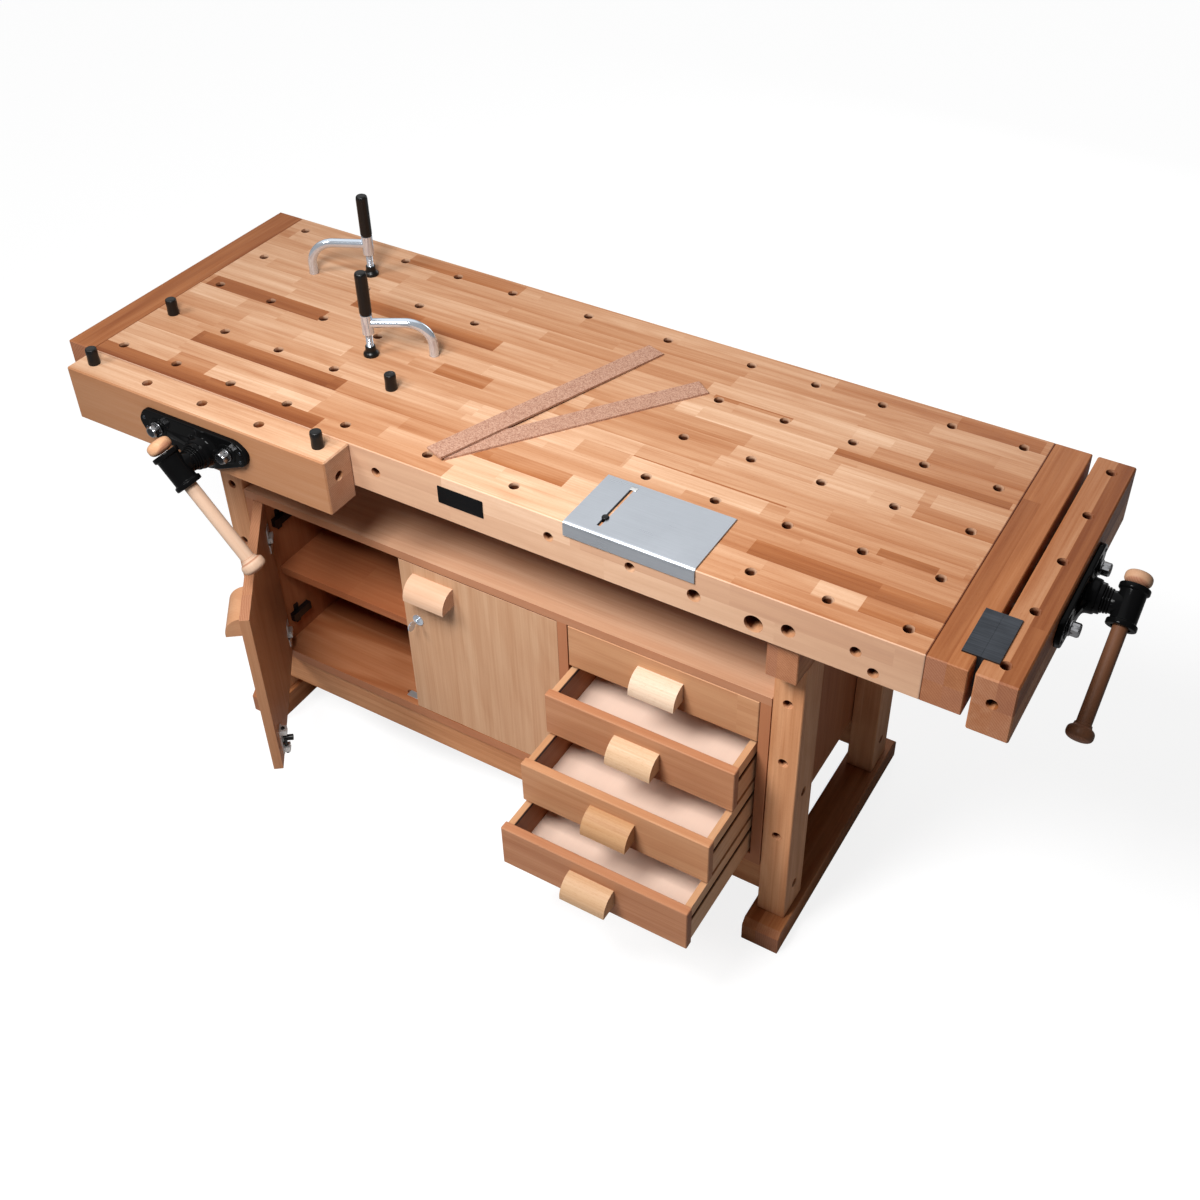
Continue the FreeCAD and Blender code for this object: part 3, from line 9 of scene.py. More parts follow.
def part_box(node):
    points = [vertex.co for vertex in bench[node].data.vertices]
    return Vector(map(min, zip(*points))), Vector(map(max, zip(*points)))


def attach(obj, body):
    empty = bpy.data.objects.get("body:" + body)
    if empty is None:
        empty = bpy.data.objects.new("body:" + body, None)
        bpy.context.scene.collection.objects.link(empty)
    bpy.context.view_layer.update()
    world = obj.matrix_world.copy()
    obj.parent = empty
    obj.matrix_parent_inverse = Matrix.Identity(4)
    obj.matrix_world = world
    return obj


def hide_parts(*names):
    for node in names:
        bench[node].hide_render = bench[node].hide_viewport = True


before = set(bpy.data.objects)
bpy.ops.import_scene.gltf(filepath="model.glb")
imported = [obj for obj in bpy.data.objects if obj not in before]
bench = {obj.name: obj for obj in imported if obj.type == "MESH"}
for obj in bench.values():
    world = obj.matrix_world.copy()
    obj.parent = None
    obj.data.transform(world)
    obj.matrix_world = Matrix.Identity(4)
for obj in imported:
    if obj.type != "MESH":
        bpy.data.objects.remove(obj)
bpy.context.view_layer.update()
print("frame loaded:", len(bench), "nodes")

# Sizes in this script are metres. They are measured from the left end of the worktop,
# its front face and the floor; corner is that place in the frame.
corner = Vector((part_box("left_end_cap")[0].x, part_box("worktop")[0].y, 0.0))
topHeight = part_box("worktop")[1].z


camera = {
    "place": (2.12, -1.5164, 2.3368),
    "rightward": (0.867754, 0.496995, 0.0001),
    "upward": (-0.315308, 0.550374, 0.773091),
    "backward": (0.384167, -0.670884, 0.634295),
    "lens": 44.05,
    "shift": (-0.03866, -0.05196),
}
lights = {
    "keyPower": 1.40, "keyAngle": 18, "keyTurn": (34, -24, 0),
    "frontPower": 40, "frontSize": 0.6, "frontPlace": (0.95, -0.90, 2.20), "frontAim": (0.95, 0.15, 0.80),
    "backPower": 16, "backSize": 1.4, "backPlace": (1.0, 3.3, 1.5), "backAim": (0.95, 0.40, 0.50),
    "roomBright": 0.46, "roomDim": 0.01, "roomFrom": (-0.20, 0.10, 0.975), "roomEdge": (0.45, 1.0),
    "roomColour": (0.98, 0.99, 1.0), "roomSeen": 0.94,
    # what polished surfaces mirror: one wide pale screen over a dim room
    "screenBright": 1.00, "screenDim": 0.14, "screenFrom": (-0.38, 0.30, 0.875), "screenEdge": (0.62, 0.84),
    "paperGlow": 0.84, "paperWhite": 0.24, "paperBack": 0.42, "paperReach": 24.0,
}


class Wire:
    # one output of a shader node; sums and products with it add Math nodes
    def __init__(self, tree, socket):
        self.tree, self.socket = tree, socket

    # adds a node: first its settings, then the values or links of its inputs
    def add(self, kind, settings=None, inputs=None, output=0):
        node = self.tree.nodes.new(kind)
        for name, value in (settings or {}).items():
            if name == "stops":
                stops = node.color_ramp.elements
                while len(stops) < len(value):
                    stops.new(1.0)
                for stop, (position, colour) in zip(stops, value):
                    stop.position, stop.color = position, (*colour, 1.0)
            else:
                setattr(node, name, value)
        for name, value in (inputs or {}).items():
            if isinstance(value, Wire):
                self.tree.links.new(value.socket, node.inputs[name])
            else:
                node.inputs[name].default_value = value
        return Wire(self.tree, node.outputs[output])

    def other(self, output):  # another output of the same node
        return Wire(self.tree, self.socket.node.outputs[output])

    def math(self, operation, *others):
        return self.add("ShaderNodeMath", {"operation": operation}, dict(enumerate((self, *others))))

    def __add__(self, other):
        return self.math("ADD", other)

    __radd__ = __add__

    def __sub__(self, other):
        return self.math("SUBTRACT", other)

    def __rsub__(self, other):
        return self.add("ShaderNodeMath", {"operation": "SUBTRACT"}, {0: other, 1: self})

    def __mul__(self, other):
        return self.math("MULTIPLY", other)

    __rmul__ = __mul__

    def __truediv__(self, other):
        return self.math("DIVIDE", other)

    def __gt__(self, other):
        return self.math("GREATER_THAN", other)

    def __lt__(self, other):
        return self.math("LESS_THAN", other)

    def floor(self):
        return self.math("FLOOR")

    # 0 below low, 1 above high, a straight ramp between
    def ramp(self, low, high, start=0.0, end=1.0):
        return self.add("ShaderNodeMapRange", {}, {0: self, 1: low, 2: high, 3: start, 4: end})

    # noise at a place stretched by three counts per metre, and moved where a shift is given
    def noise(self, counts, detail=2.0, shift=None, rough=0.55):
        place = self.add("ShaderNodeVectorMath", {"operation": "MULTIPLY"}, {0: self, 1: counts})
        if shift:
            place = self.add("ShaderNodeVectorMath", {"operation": "ADD"}, {0: place, 1: shift})
        inputs = {"Vector": place, "Scale": 1.0, "Detail": detail, "Roughness": rough}
        return self.add("ShaderNodeTexNoise", {}, inputs)

    # two colours by a share
    def blend(self, other, share, way="MIX"):
        settings = {"data_type": "RGBA", "blend_type": way}
        return self.add("ShaderNodeMix", settings, {0: share, 6: self, 7: other}, 2)

    def tinted(self, tint, share):  # a colour times a tint, by a share
        return self.blend((*tint, 1.0), share, "MULTIPLY")

    def parts(self):
        split = self.add("ShaderNodeSeparateXYZ", {}, {0: self})
        return split, split.other(1), split.other(2)

    # three random numbers for a row and a stave
    def lot(self, second, third):
        key = self.add("ShaderNodeCombineXYZ", {}, {0: self, 1: second, 2: third})
        return key.add("ShaderNodeTexWhiteNoise", {}, {"Vector": key}, 1).parts()


# a new material: its shader, its object place and its object normal
def newPaint(name, **shader):
    paint = bpy.data.materials.new(name)
    paint.use_nodes = True
    tree = paint.node_tree
    skin = tree.nodes["Principled BSDF"]
    for socket, value in shader.items():
        skin.inputs[socket.replace("_", " ")].default_value = value
    space = tree.nodes.new("ShaderNodeTexCoord")
    return paint, skin, Wire(tree, space.outputs["Object"]), Wire(tree, space.outputs["Normal"])


def feed(skin, **wires):
    for socket, wire in wires.items():
        wire.tree.links.new(wire.socket, skin.inputs[socket.replace("_", " ")])


def bumped(skin, height, distance, strength=1.0):
    inputs = {"Height": height, "Distance": distance, "Strength": strength}
    feed(skin, Normal=height.add("ShaderNodeBump", {}, inputs))


def colourOf(red, green, blue):  # a screen colour, 0 to 255, as the shader's own numbers
    return tuple(((number / 255 + 0.055) / 1.055) ** 2.4 for number in (red, green, blue))


def setCamera():
    view = bpy.data.objects.new("camera", bpy.data.cameras.new("camera"))
    bpy.context.scene.collection.objects.link(view)
    turn = Matrix((camera["rightward"], camera["upward"], camera["backward"])).transposed().to_4x4()
    view.matrix_world = Matrix.Translation(Vector(camera["place"]) + corner) @ turn
    view.data.lens = camera["lens"]
    view.data.sensor_width = 36.0
    view.data.shift_x, view.data.shift_y = camera["shift"]
    view.data.clip_end = 60.0
    bpy.context.scene.camera = view


def newLamp(name, kind):
    lamp = bpy.data.objects.new(name, bpy.data.lights.new(name, kind))
    lamp.data.energy = lights[f"{name}Power"]
    bpy.context.scene.collection.objects.link(lamp)
    return lamp


def aimLamp(name):  # a square lamp at its place, turned to its aim
    lamp = newLamp(name, "AREA")
    lamp.data.size = lights[f"{name}Size"]
    place, aim = Vector(lights[f"{name}Place"]), Vector(lights[f"{name}Aim"])
    lamp.location = place + corner
    lamp.rotation_euler = (aim - place).to_track_quat("-Z", "Y").to_euler()


def setLights():
    key = newLamp("key", "SUN")
    key.data.angle = radians(lights["keyAngle"])
    key.rotation_euler = [radians(angle) for angle in lights["keyTurn"]]
    aimLamp("front")
    aimLamp("back")


# Room: its light falls off with the angle from overhead, and so does the screen that mirrors see;
# straight to the eye it is as pale as the floor.
def setRoom():
    world = bpy.data.worlds.new("studio")
    bpy.context.scene.world = world
    world.use_nodes = True
    tree = world.node_tree
    place = Wire(tree, tree.nodes.new("ShaderNodeTexCoord").outputs["Generated"])
    product = {"operation": "DOT_PRODUCT"}
    nearness = lambda way: place.add("ShaderNodeVectorMath", product, {0: place, 1: way}, 1)
    bright = nearness(lights["roomFrom"]).ramp(*lights["roomEdge"], lights["roomDim"], lights["roomBright"])
    screen = nearness(lights["screenFrom"])
    screen = screen.ramp(*lights["screenEdge"], lights["screenDim"], lights["screenBright"])
    mirrored = place.add("ShaderNodeLightPath", {}, {}, "Is Glossy Ray")
    seen = mirrored.other("Is Camera Ray")
    strength = (bright * (1 - mirrored) + screen * mirrored) * (1 - seen) + seen * lights["roomSeen"]
    tree.nodes["Background"].inputs["Color"].default_value = (*lights["roomColour"], 1.0)
    tree.links.new(strength.socket, tree.nodes["Background"].inputs["Strength"])
    bpy.context.scene.view_settings.view_transform = "Standard"


# Floor: white paper where it is seen straight, and grey in mirrors and for the light that it throws back.
def layFloor():
    mesh = bpy.data.meshes.new("floor")
    reach = lights["paperReach"]
    corners = [(-reach, -reach, 0), (reach, -reach, 0), (reach, reach, 0), (-reach, reach, 0)]
    mesh.from_pydata(corners, [], [(0, 1, 2, 3)])
    ground = bpy.data.objects.new("floor", mesh)
    bpy.context.scene.collection.objects.link(ground)
    grey = lambda name: (*[lights[name]] * 3, 1.0)
    paint, skin, place, normal = newPaint("pale floor", Roughness=0.9, Base_Color=grey("paperBack"))
    tree = paint.node_tree
    paper = place.add("ShaderNodeBsdfDiffuse", {}, {"Color": grey("paperWhite")})
    glow = place.add("ShaderNodeEmission", {}, {"Color": (1, 1, 1, 1), "Strength": lights["paperGlow"]})
    white = place.add("ShaderNodeAddShader", {}, {0: paper, 1: glow})
    straight = place.add("ShaderNodeLightPath")
    both = place.add("ShaderNodeMixShader", {}, {0: straight, 1: Wire(tree, skin.outputs[0]), 2: white})
    tree.links.new(both.socket, tree.nodes["Material Output"].inputs["Surface"])
    mesh.materials.append(paint)


# Eased corners: each corner of a profile becomes a curve, (1-t)(1-t) start + 2t(1-t) corner + t t end,
# where start and end lie on its two sides at the given reach from it.
def eased(corners, reach, steps=5):
    corners = np.array(corners, float)
    reach = np.broadcast_to(np.array(reach, float), len(corners))[:, None]
    before, after = np.roll(corners, 1, 0) - corners, np.roll(corners, -1, 0) - corners
    size = lambda way: np.maximum(np.linalg.norm(way, axis=1, keepdims=True), 1e-9)
    start, end = corners + before / size(before) * reach, corners + after / size(after) * reach
    share = np.linspace(0, 1, steps)[None, :, None]
    curve = (1 - share) ** 2 * start[:, None] + 2 * share * (1 - share) * corners[:, None]
    return (curve + share**2 * end[:, None]).reshape(-1, 2)


def square(axis):  # two directions square to an axis and to each other
    axis = np.array(axis, float) / np.linalg.norm(axis)
    side = np.cross(axis, (0.0, 0.0, 1.0) if abs(axis[2]) < 0.9 else (0.0, 1.0, 0.0))
    side = side / np.linalg.norm(side)
    return axis, side, np.cross(axis, side)


# Lathe: point = foot + height * axis + radius * (cos angle * side + sin angle * front);
# flutes cut into the radius by depth * (half of 1 + cos(count * angle)) where the profile allows it.
def lathe(foot, axis, profile, count=48, flutes=0, depth=0.0, fluted=None):
    axis, side, front = square(axis)
    radius, height = np.array(profile, float).T
    angle = np.linspace(0, tau, count, endpoint=False)
    allowed = np.zeros_like(radius) if fluted is None else fluted
    cutting = depth * (0.5 + 0.5 * np.cos(flutes * angle))[None, :] * allowed[:, None]
    out = (radius[:, None] - cutting)[:, :, None]
    ring = np.cos(angle)[None, :, None] * side + np.sin(angle)[None, :, None] * front
    return np.array(foot, float) + height[:, None, None] * axis + out * ring


# Thread: a lathe whose radius swings between root and crest with the phase height / pitch - angle / turn.
def thread(foot, axis, root, crest, length, pitch, count=20, steps=7):
    axis, side, front = square(axis)
    height = np.linspace(0, length, int(length / pitch * steps))[:, None]
    angle = np.linspace(0, tau, count, endpoint=False)[None, :]
    wave = np.abs(((height / pitch - angle / tau) % 1.0) * 2 - 1)
    fade = np.clip(np.minimum(height, length - height) / pitch, 0, 1)
    radius = (root + (crest - root) * np.clip(wave * 1.8 - 0.4, 0, 1) * fade)[:, :, None]
    radius[[0, -1]] *= 0.0
    ring = np.cos(angle)[:, :, None] * side + np.sin(angle)[:, :, None] * front
    return np.array(foot, float) + height[:, :, None] * axis + radius * ring


# Puts grids of points into a mesh: four-sided faces between neighbours, closed round each row; the
# doubles are merged and the faces turned outwards. Edges sharper than so many degrees stay sharp.
def makePiece(name, grids, paint, body, sharp=38):
    points, faces, start = [], [], 0
    for grid in grids if isinstance(grids, list) else [grids]:
        rows, columns, _ = grid.shape
        row = np.arange(rows - 1)[:, None] * columns
        column = np.arange(columns)[None, :]
        beside, below = (column + 1) % columns, row + columns
        quads = np.stack([row + column, row + beside, below + beside, below + column], -1)
        points.append(grid.reshape(-1, 3))
        faces.append(quads.reshape(-1, 4) + start)
        start += rows * columns
    mesh = bpy.data.meshes.new(name)
    mesh.from_pydata(np.concatenate(points).tolist(), [], np.concatenate(faces).tolist())
    shell = bmesh.new()
    shell.from_mesh(mesh)
    bmesh.ops.remove_doubles(shell, verts=shell.verts, dist=2e-6)
    bmesh.ops.dissolve_degenerate(shell, dist=1e-7, edges=shell.edges)
    bmesh.ops.recalc_face_normals(shell, faces=shell.faces)
    shell.to_mesh(mesh)
    shell.free()
    mesh.shade_smooth()
    mesh.set_sharp_from_angle(angle=radians(sharp))
    mesh.materials.append(paint)
    piece = bpy.data.objects.new(name, mesh)
    bpy.context.scene.collection.objects.link(piece)
    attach(piece, body)
    return piece


woods = {
    "row": 0.03833, "length": 0.30, "layer": 0.0455, "rowFrom": 0.0, "layerFrom": 0.0,
    "pale": colourOf(224, 187, 156), "plain": colourOf(198, 150, 114),
    "warm": colourOf(172, 112, 70), "dark": colourOf(130, 73, 38),
    "least": 0.15, "most": 0.43, "drift": 0.50,
    "fine": 0.58, "streak": 0.46, "broad": 0.40, "figure": 0.26, "lines": 60.0, "fleck": 0.34,
    "tint": (0.80, 0.66, 0.55), "fleckTint": (0.72, 0.55, 0.42), "seamTint": (0.30, 0.16, 0.11),
    "endRed": colourOf(170, 118, 92), "ringTint": (0.72, 0.55, 0.46), "poreTint": (0.66, 0.50, 0.42),
    # painted shade, for the walls of holes, the narrow sides at gaps, and the drawers' grooves, inner walls
    # and rims
    "shade": (0.12, 0.055, 0.030), "gapShade": (0.16, 0.08, 0.05), "grooveShade": (0.05, 0.025, 0.015),
    "innerShade": (0.50, 0.32, 0.21), "rimShade": (0.80, 0.76, 0.71), "sideThick": 0.0085, "bandShare": 0.75,
    "rough": 0.46, "coat": 0.015,
}


# Staves: rows across the board and layers down it, each cut to its own random length and shift. Gives
# a stave's tone, and three random numbers from 0 to 1 for its hue, its place in the log and its ends.
def staveTones(look, along, across, deep, seed):
    rows = across - look["rowFrom"]
    if "narrow" in look:  # a row of half width
        rows = rows + (rows > look["narrow"]) * (look["row"] / 2)
    row = (rows / look["row"]).floor()
    layer = ((look["layerFrom"] - deep) / look["layer"]).floor()
    first, second, third = row.lot(layer, seed + 3.3)
    length = first.ramp(0.0, 1.0, look["length"] * 0.8, look["length"] * 1.2)
    stave = (along / length + second * 17.0).floor()
    tone, hue, shift = (row + layer * 31.0).lot(stave, seed + 8.1)
    tone = tone.ramp(0.0, 1.0, look["least"], look["most"])
    for low, high, near, far, given in look.get("marked", ()):
        inside = (along > low) * (along < high) * (rows > near) * (rows < far) * (layer < 0.5)
        tone = tone.add("ShaderNodeMix", {}, {0: inside, 2: tone, 3: given})
    # in part painted shade: the top darkens and warms towards its far end, partly the wood's tone, partly
    # shade where the light falls off
    if "slope" in look:  # warmer towards the far end
        low, high, more = look["slope"]
        tone = tone + along.ramp(low, high) * more
    if "lean" in look:  # darker towards a stave's front side
        tone = tone + (0.5 - (rows / look["row"]).math("FRACT")) * tone * look["lean"]
    return tone, hue, shift, third


# End grain: rings about a far centre, (across + a)^2 + (deep + b)^2 = radius^2, as powers of the
# radius's sine, with pores, over the stave's colour turned redder.
def endGrain(look, base, board, across, deep, stave, broad):
    hue, shift, redness = stave
    centre = (across + hue * 0.08).math("POWER", 2.0) + (deep + shift * 0.07 - 0.03).math("POWER", 2.0)
    rings = ((centre.math("SQRT") * 1500.0 + broad * 9.0).math("SINE") * 0.5 + 0.5).math("POWER", 2.0)
    pores = board.noise((200.0, 500.0, 500.0), 2.0).ramp(0.45, 0.7)
    cut = base.blend((*look["endRed"], 1.0), redness.ramp(0.0, 1.0, 0.25, 0.95))
    return cut.tinted(look["ringTint"], rings * 0.50).tinted(look["poreTint"], pores * 0.40)


# Drawer sides, in painted shade: a nearly black groove runs along both outer sides, the rim is a little
# darker than the sides, and the inner walls, where little light comes, are darker still.
def drawerSideShade(look, colour, axes, faces):
    low, high = look["grooved"]
    inward = (axes[0] - low.x).math("MINIMUM", high.x - axes[0]).math("MINIMUM", high.z - axes[2])
    outer = inward < look["sideThick"]
    colour = colour.tinted(look["grooveShade"], inward.ramp(0.0010, 0.0030) * outer)
    colour = colour.tinted(look["rimShade"], (faces[2] > 0.5) * outer)
    wall = (inward > look["sideThick"]) * (faces[2].math("ABSOLUTE") < 0.5)
    return colour.tinted(look["innerShade"], wall)


# Hollows, in painted shade: depth is the least distance to the board's six faces. A hole's wall that lies
# deeper than a few millimetres is darkened with painted shade, unless it is turned to the light, to the left
# or upwards.
def hollowShade(look, colour, axes, faces):
    depth = None
    for spot, (low, high, middle) in zip(axes, look["hollow"]):
        if middle is not None:
            spot = (spot - middle).math("ABSOLUTE")
        inward = (spot - low).math("MINIMUM", high - spot)
        depth = depth.math("MINIMUM", inward) if depth else inward
    turned = (faces[0] - faces[2] * 0.6).ramp(-0.62, -0.10)
    return colour.tinted(look["shade"], depth.ramp(0.0022, 0.0075) * (faces[2] > -0.5) * turned)


# Wood: a stave's tone drifts along broad streaks and picks its colour from four. Over it come fine,
# narrow and broad streaks, the contour lines of a noise stretched along the grain, and short dark
# flecks; faces across the grain show end grain.
def woodPaint(name, grain, seed=0.0, **change):
    look = {**woods, **change}
    paint, skin, place, normal = newPaint(name, Coat_Roughness=0.30, Specular_IOR_Level=0.16)
    if "turn" in look:
        turn = {"Rotation": [radians(angle) for angle in look["turn"]]}
        place = place.add("ShaderNodeMapping", {"vector_type": "POINT"}, {"Vector": place, **turn})
        normal = normal.add("ShaderNodeMapping", {"vector_type": "VECTOR"}, {"Vector": normal, **turn})
    order = {"x": (0, 1, 2), "y": (1, 0, 2), "z": (2, 0, 1)}[grain]
    axes, faces = place.parts(), normal.parts()
    along, across, deep = (axes[number] for number in order)
    tone, hue, shift, redness = staveTones(look, along, across, deep, seed)
    board = place.add("ShaderNodeCombineXYZ", {}, {0: along, 1: across, 2: deep})
    offset = place.add("ShaderNodeCombineXYZ", {}, {0: shift * 40.0, 1: hue * 30.0, 2: shift * 20.0})
    fine = board.noise((5.0, 330.0, 330.0), 3.0, offset)
    broad = board.noise((2.2, 42.0, 42.0), 2.0, offset)
    field = board.noise((1.5, 13.0, 9.0), 1.0, offset, 0.4)
    figure = ((field * look["lines"]).math("SINE") * 0.5 + 0.5).ramp(0.35, 1.0)
    streak = board.noise((3.4, 125.0, 125.0), 3.0, offset).ramp(0.50, 0.66) * hue.ramp(0.0, 1.0, 0.35, 1.0)
    fleck = board.noise((150.0, 1300.0, 1300.0), 1.0, offset).ramp(0.60, 0.72)
    stops = [(0.0, look["pale"]), (0.35, look["plain"]), (0.62, look["warm"]), (1.0, look["dark"])]
    base = tone.add("ShaderNodeValToRGB", {"stops": stops}, {0: tone + (broad - 0.5) * look["drift"]})
    colour = base.tinted(look["tint"], fine.ramp(0.35, 0.75) * look["fine"])
    colour = colour.tinted(look["tint"], streak * look["streak"])
    colour = colour.tinted(look["tint"], broad.ramp(0.35, 0.70) * look["broad"])
    colour = colour.tinted(look["tint"], figure * look["figure"])
    colour = colour.tinted(look["fleckTint"], fleck * look["fleck"])
    for axis, spot, width in look.get("seams", ()):  # a dark joint line across one axis
        line = (axes[axis] - spot).math("ABSOLUTE").ramp(width * 0.5, width, 1.0, 0.0)
        colour = colour.tinted(look["seamTint"], line * 0.9)
    endOn = faces[order[0]].math("ABSOLUTE").ramp(0.62, 0.82)
    colour = colour.blend(endGrain(look, base, board, across, deep, (hue, shift, redness), broad), endOn)
    if "pull" in look:  # the pull stands before the front, in a paler wood
        maple = colour.blend((*look["pullPale"], 1.0), 0.92)
        maple = maple.tinted(look["tint"], fine.ramp(0.40, 0.70) * 0.40)
        maple = maple.tinted((0.78, 0.64, 0.50), (fleck + streak * 0.5) * 0.6)
        colour = colour.blend(maple, axes[1] < look["pull"])
    if "floorOf" in look:  # the box's bottom is pale plywood
        inside = (axes[2] < look["floorOf"]) * (faces[2] > 0.5)
        colour = colour.blend(colour.blend((*look["plyPale"], 1.0), 0.82), inside)
    # in part painted light: on the worktop the paler band is partly a painted highlight, on the front jaw
    # the browner band partly painted shade
    if "band" in look:  # the front edge of a board, in a wood of its own
        colour = colour.blend((*look["band"], 1.0), (faces[1] < -0.7) * look["bandShare"])
    # painted shade: the narrow sides that face a gap are darkened
    if "gap" in look:  # the narrow sides that face a gap
        shadedNarrowSide = (faces[1].math("ABSOLUTE") < 0.5) * (axes[1] > look["gap"])
        colour = colour.tinted(look["gapShade"], shadedNarrowSide)
    if "grooved" in look:
        colour = drawerSideShade(look, colour, axes, faces)
    if "hollow" in look:
        colour = hollowShade(look, colour, axes, faces)
    rough = fine.ramp(0.3, 0.8, look["rough"] - 0.05, look["rough"] + 0.08) + endOn * 0.12
    feed(skin, Base_Color=colour, Roughness=rough)
    skin.inputs["Coat Weight"].default_value = look["coat"]
    bumped(skin, fine * 0.6 + broad * 0.4 - fleck * 0.5, 0.00025, 0.6)
    return paint


# the worktop's boldest staves: from and to in millimetres from the left end, the rows from the front
# between which each lies, and its tone from pale to dark; where two overlap the later one is seen
topStaves = [
    (62, 584, 0, 1, 0.88), (859, 1110, 0, 1, 0.02),
    (213, 302, 1, 2, 0.46), (302, 545, 1, 2, 0.05), (840, 1110, 1, 2, 0.00), (1513, 1590, 1, 2, 0.06),
    (1590, 1712, 1, 2, 0.50), (711, 870, 2, 3, 0.44), (870, 1047, 2, 3, 0.56), (1047, 1150, 2, 3, 0.04),
    (1386, 1714, 2, 3, 0.60), (197, 543, 3, 4, 0.84), (62, 300, 4, 5, 0.30), (790, 960, 4, 5, 0.14),
    (770, 1010, 5, 6, 0.08), (1106, 1361, 5, 6, 0.04), (1563, 1661, 5, 5.5, 0.60),
    (1050, 1391, 5.974, 6.066, 0.60), (364, 479, 6, 7, 0.05), (880, 1106, 6, 7, 0.10),
    (68, 190, 7, 8, 0.08), (660, 770, 7, 8, 0.58), (75, 360, 8, 9, 0.78), (740, 960, 8, 9, 0.12),
    (1400, 1575, 8, 9, 0.06), (1420, 1570, 9, 10, 0.10), (378, 713, 10, 11, 0.70),
    (1099, 1397, 10, 11, 0.04), (1397, 1705, 10.5, 11, 0.76), (1404, 1540, 12, 13, 0.08),
    (1141, 1294, 11.792, 12.079, 0.56), (370, 640, 15, 16, 0.56), (1548, 1700, 15, 16, 0.56),
]


def paintNode(name, paint):
    for slot in bench[name].material_slots:
        slot.material = paint


def dressWood(node, name, grain, seed, **look):
    paintNode(node, woodPaint(name, grain, seed, **look))


# the six faces of a node's boards, as low, high and the middle that it is folded about
def facesOf(name, folded=None):
    low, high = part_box(name)
    sides = []
    for axis in range(3):
        middle, half = (low[axis] + high[axis]) / 2, (high[axis] - low[axis]) / 2
        wide = (folded or {}).get(axis)
        sides.append((low[axis], high[axis], None) if wide is None else (half - wide, half, middle))
    return sides


capSeam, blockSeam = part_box("left_end_cap")[1].x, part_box("right_end_block")[0].x
slab = {
    "skin": 0.0005, "narrowFrom": 0.1725, "blockSeamWide": 0.0022, "capSeamWide": 0.0012,
    "slopeFrom": 1.25, "slopeTo": 1.72, "slopeMore": 0.12,
    # the worktop's paler front band is partly its own wood and partly a painted highlight; the front jaw's
    # browner face is partly its own wood and partly painted shade, and its holes take a milder painted shade
    "band": colourOf(226, 190, 162), "bandShare": 0.45,
    "jawFaceToneAndShade": colourOf(160, 106, 68), "jawShade": (0.40, 0.22, 0.13), "jawRow": (0.0355, 0.08),
    "jawRowTone": 0.90,
}


# the slab, its two ends and the two jaws, which are all laid up in layers from the top down
def paintSlab():
    front, top = corner.y, topHeight + slab["skin"]
    row, onX = woods["row"], lambda millimetres: corner.x + millimetres / 1000
    marked = [(onX(low), onX(high), near * row, far * row, tone)
              for low, high, near, far, tone in topStaves]
    slope = (corner.x + slab["slopeFrom"], corner.x + slab["slopeTo"], slab["slopeMore"])
    capLine, blockLine = (0, capSeam, slab["capSeamWide"]), (0, blockSeam, slab["blockSeamWide"])
    dressWood("worktop", "worktop beech", "x", 0.0, rowFrom=front - slab["skin"], layerFrom=top,
              narrow=slab["narrowFrom"], marked=marked, lean=0.28, drift=0.42, slope=slope,
              band=slab["band"], bandShare=slab["bandShare"], seams=[blockLine, capLine],
              hollow=facesOf("worktop"))
    dressWood("left_end_cap", "cap beech", "y", 2.0, row=0.2, length=2.0, layer=0.05, layerFrom=top,
              rowFrom=corner.x - 0.01, least=0.72, most=0.78, seams=[capLine])
    dressWood("right_end_block", "block beech", "y", 4.0, row=0.033, length=2.5, layer=0.045,
              rowFrom=blockSeam - slab["skin"], layerFrom=top, least=0.64, most=0.78, seams=[blockLine])
    outerRow = (front - 1.0, front + 1.0, *slab["jawRow"], slab["jawRowTone"])
    dressWood("end_jaw", "end jaw beech", "y", 7.0, row=0.035, length=2.5, layer=0.056, layerFrom=top,
              rowFrom=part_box("end_jaw")[0].x - slab["skin"], least=0.50, most=0.64,
              marked=[outerRow], hollow=facesOf("end_jaw"))
    dressWood("front_jaw", "front jaw beech", "x", 9.0, row=0.2, length=3.0, layer=0.056, layerFrom=top,
              rowFrom=front - 0.15, least=0.06, most=0.20, band=slab["jawFaceToneAndShade"], shade=slab["jawShade"],
              hollow=facesOf("front_jaw"))


trestle = {
    "row": 0.5, "length": 5.0, "layer": 0.6, "least": 0.08, "most": 0.18,
    "pale": colourOf(228, 172, 130), "plain": colourOf(206, 148, 105),
}
legSize = {0: 0.055, 1: 0.075}  # a leg's width and depth


def paintTrestles():
    dressWood("trestle_legs", "leg beech", "z", 11.0, hollow=facesOf("trestle_legs", legSize), **trestle)
    dressWood("trestle_feet", "foot beech", "y", 12.0, **{**trestle, "least": 0.56, "most": 0.64})
    dressWood("trestle_bearers", "bearer beech", "y", 13.0, **{**trestle, "least": 0.45, "most": 0.55})
    dressWood("stretchers", "stretcher beech", "x", 14.0, **{**trestle, "least": 0.30, "most": 0.40})


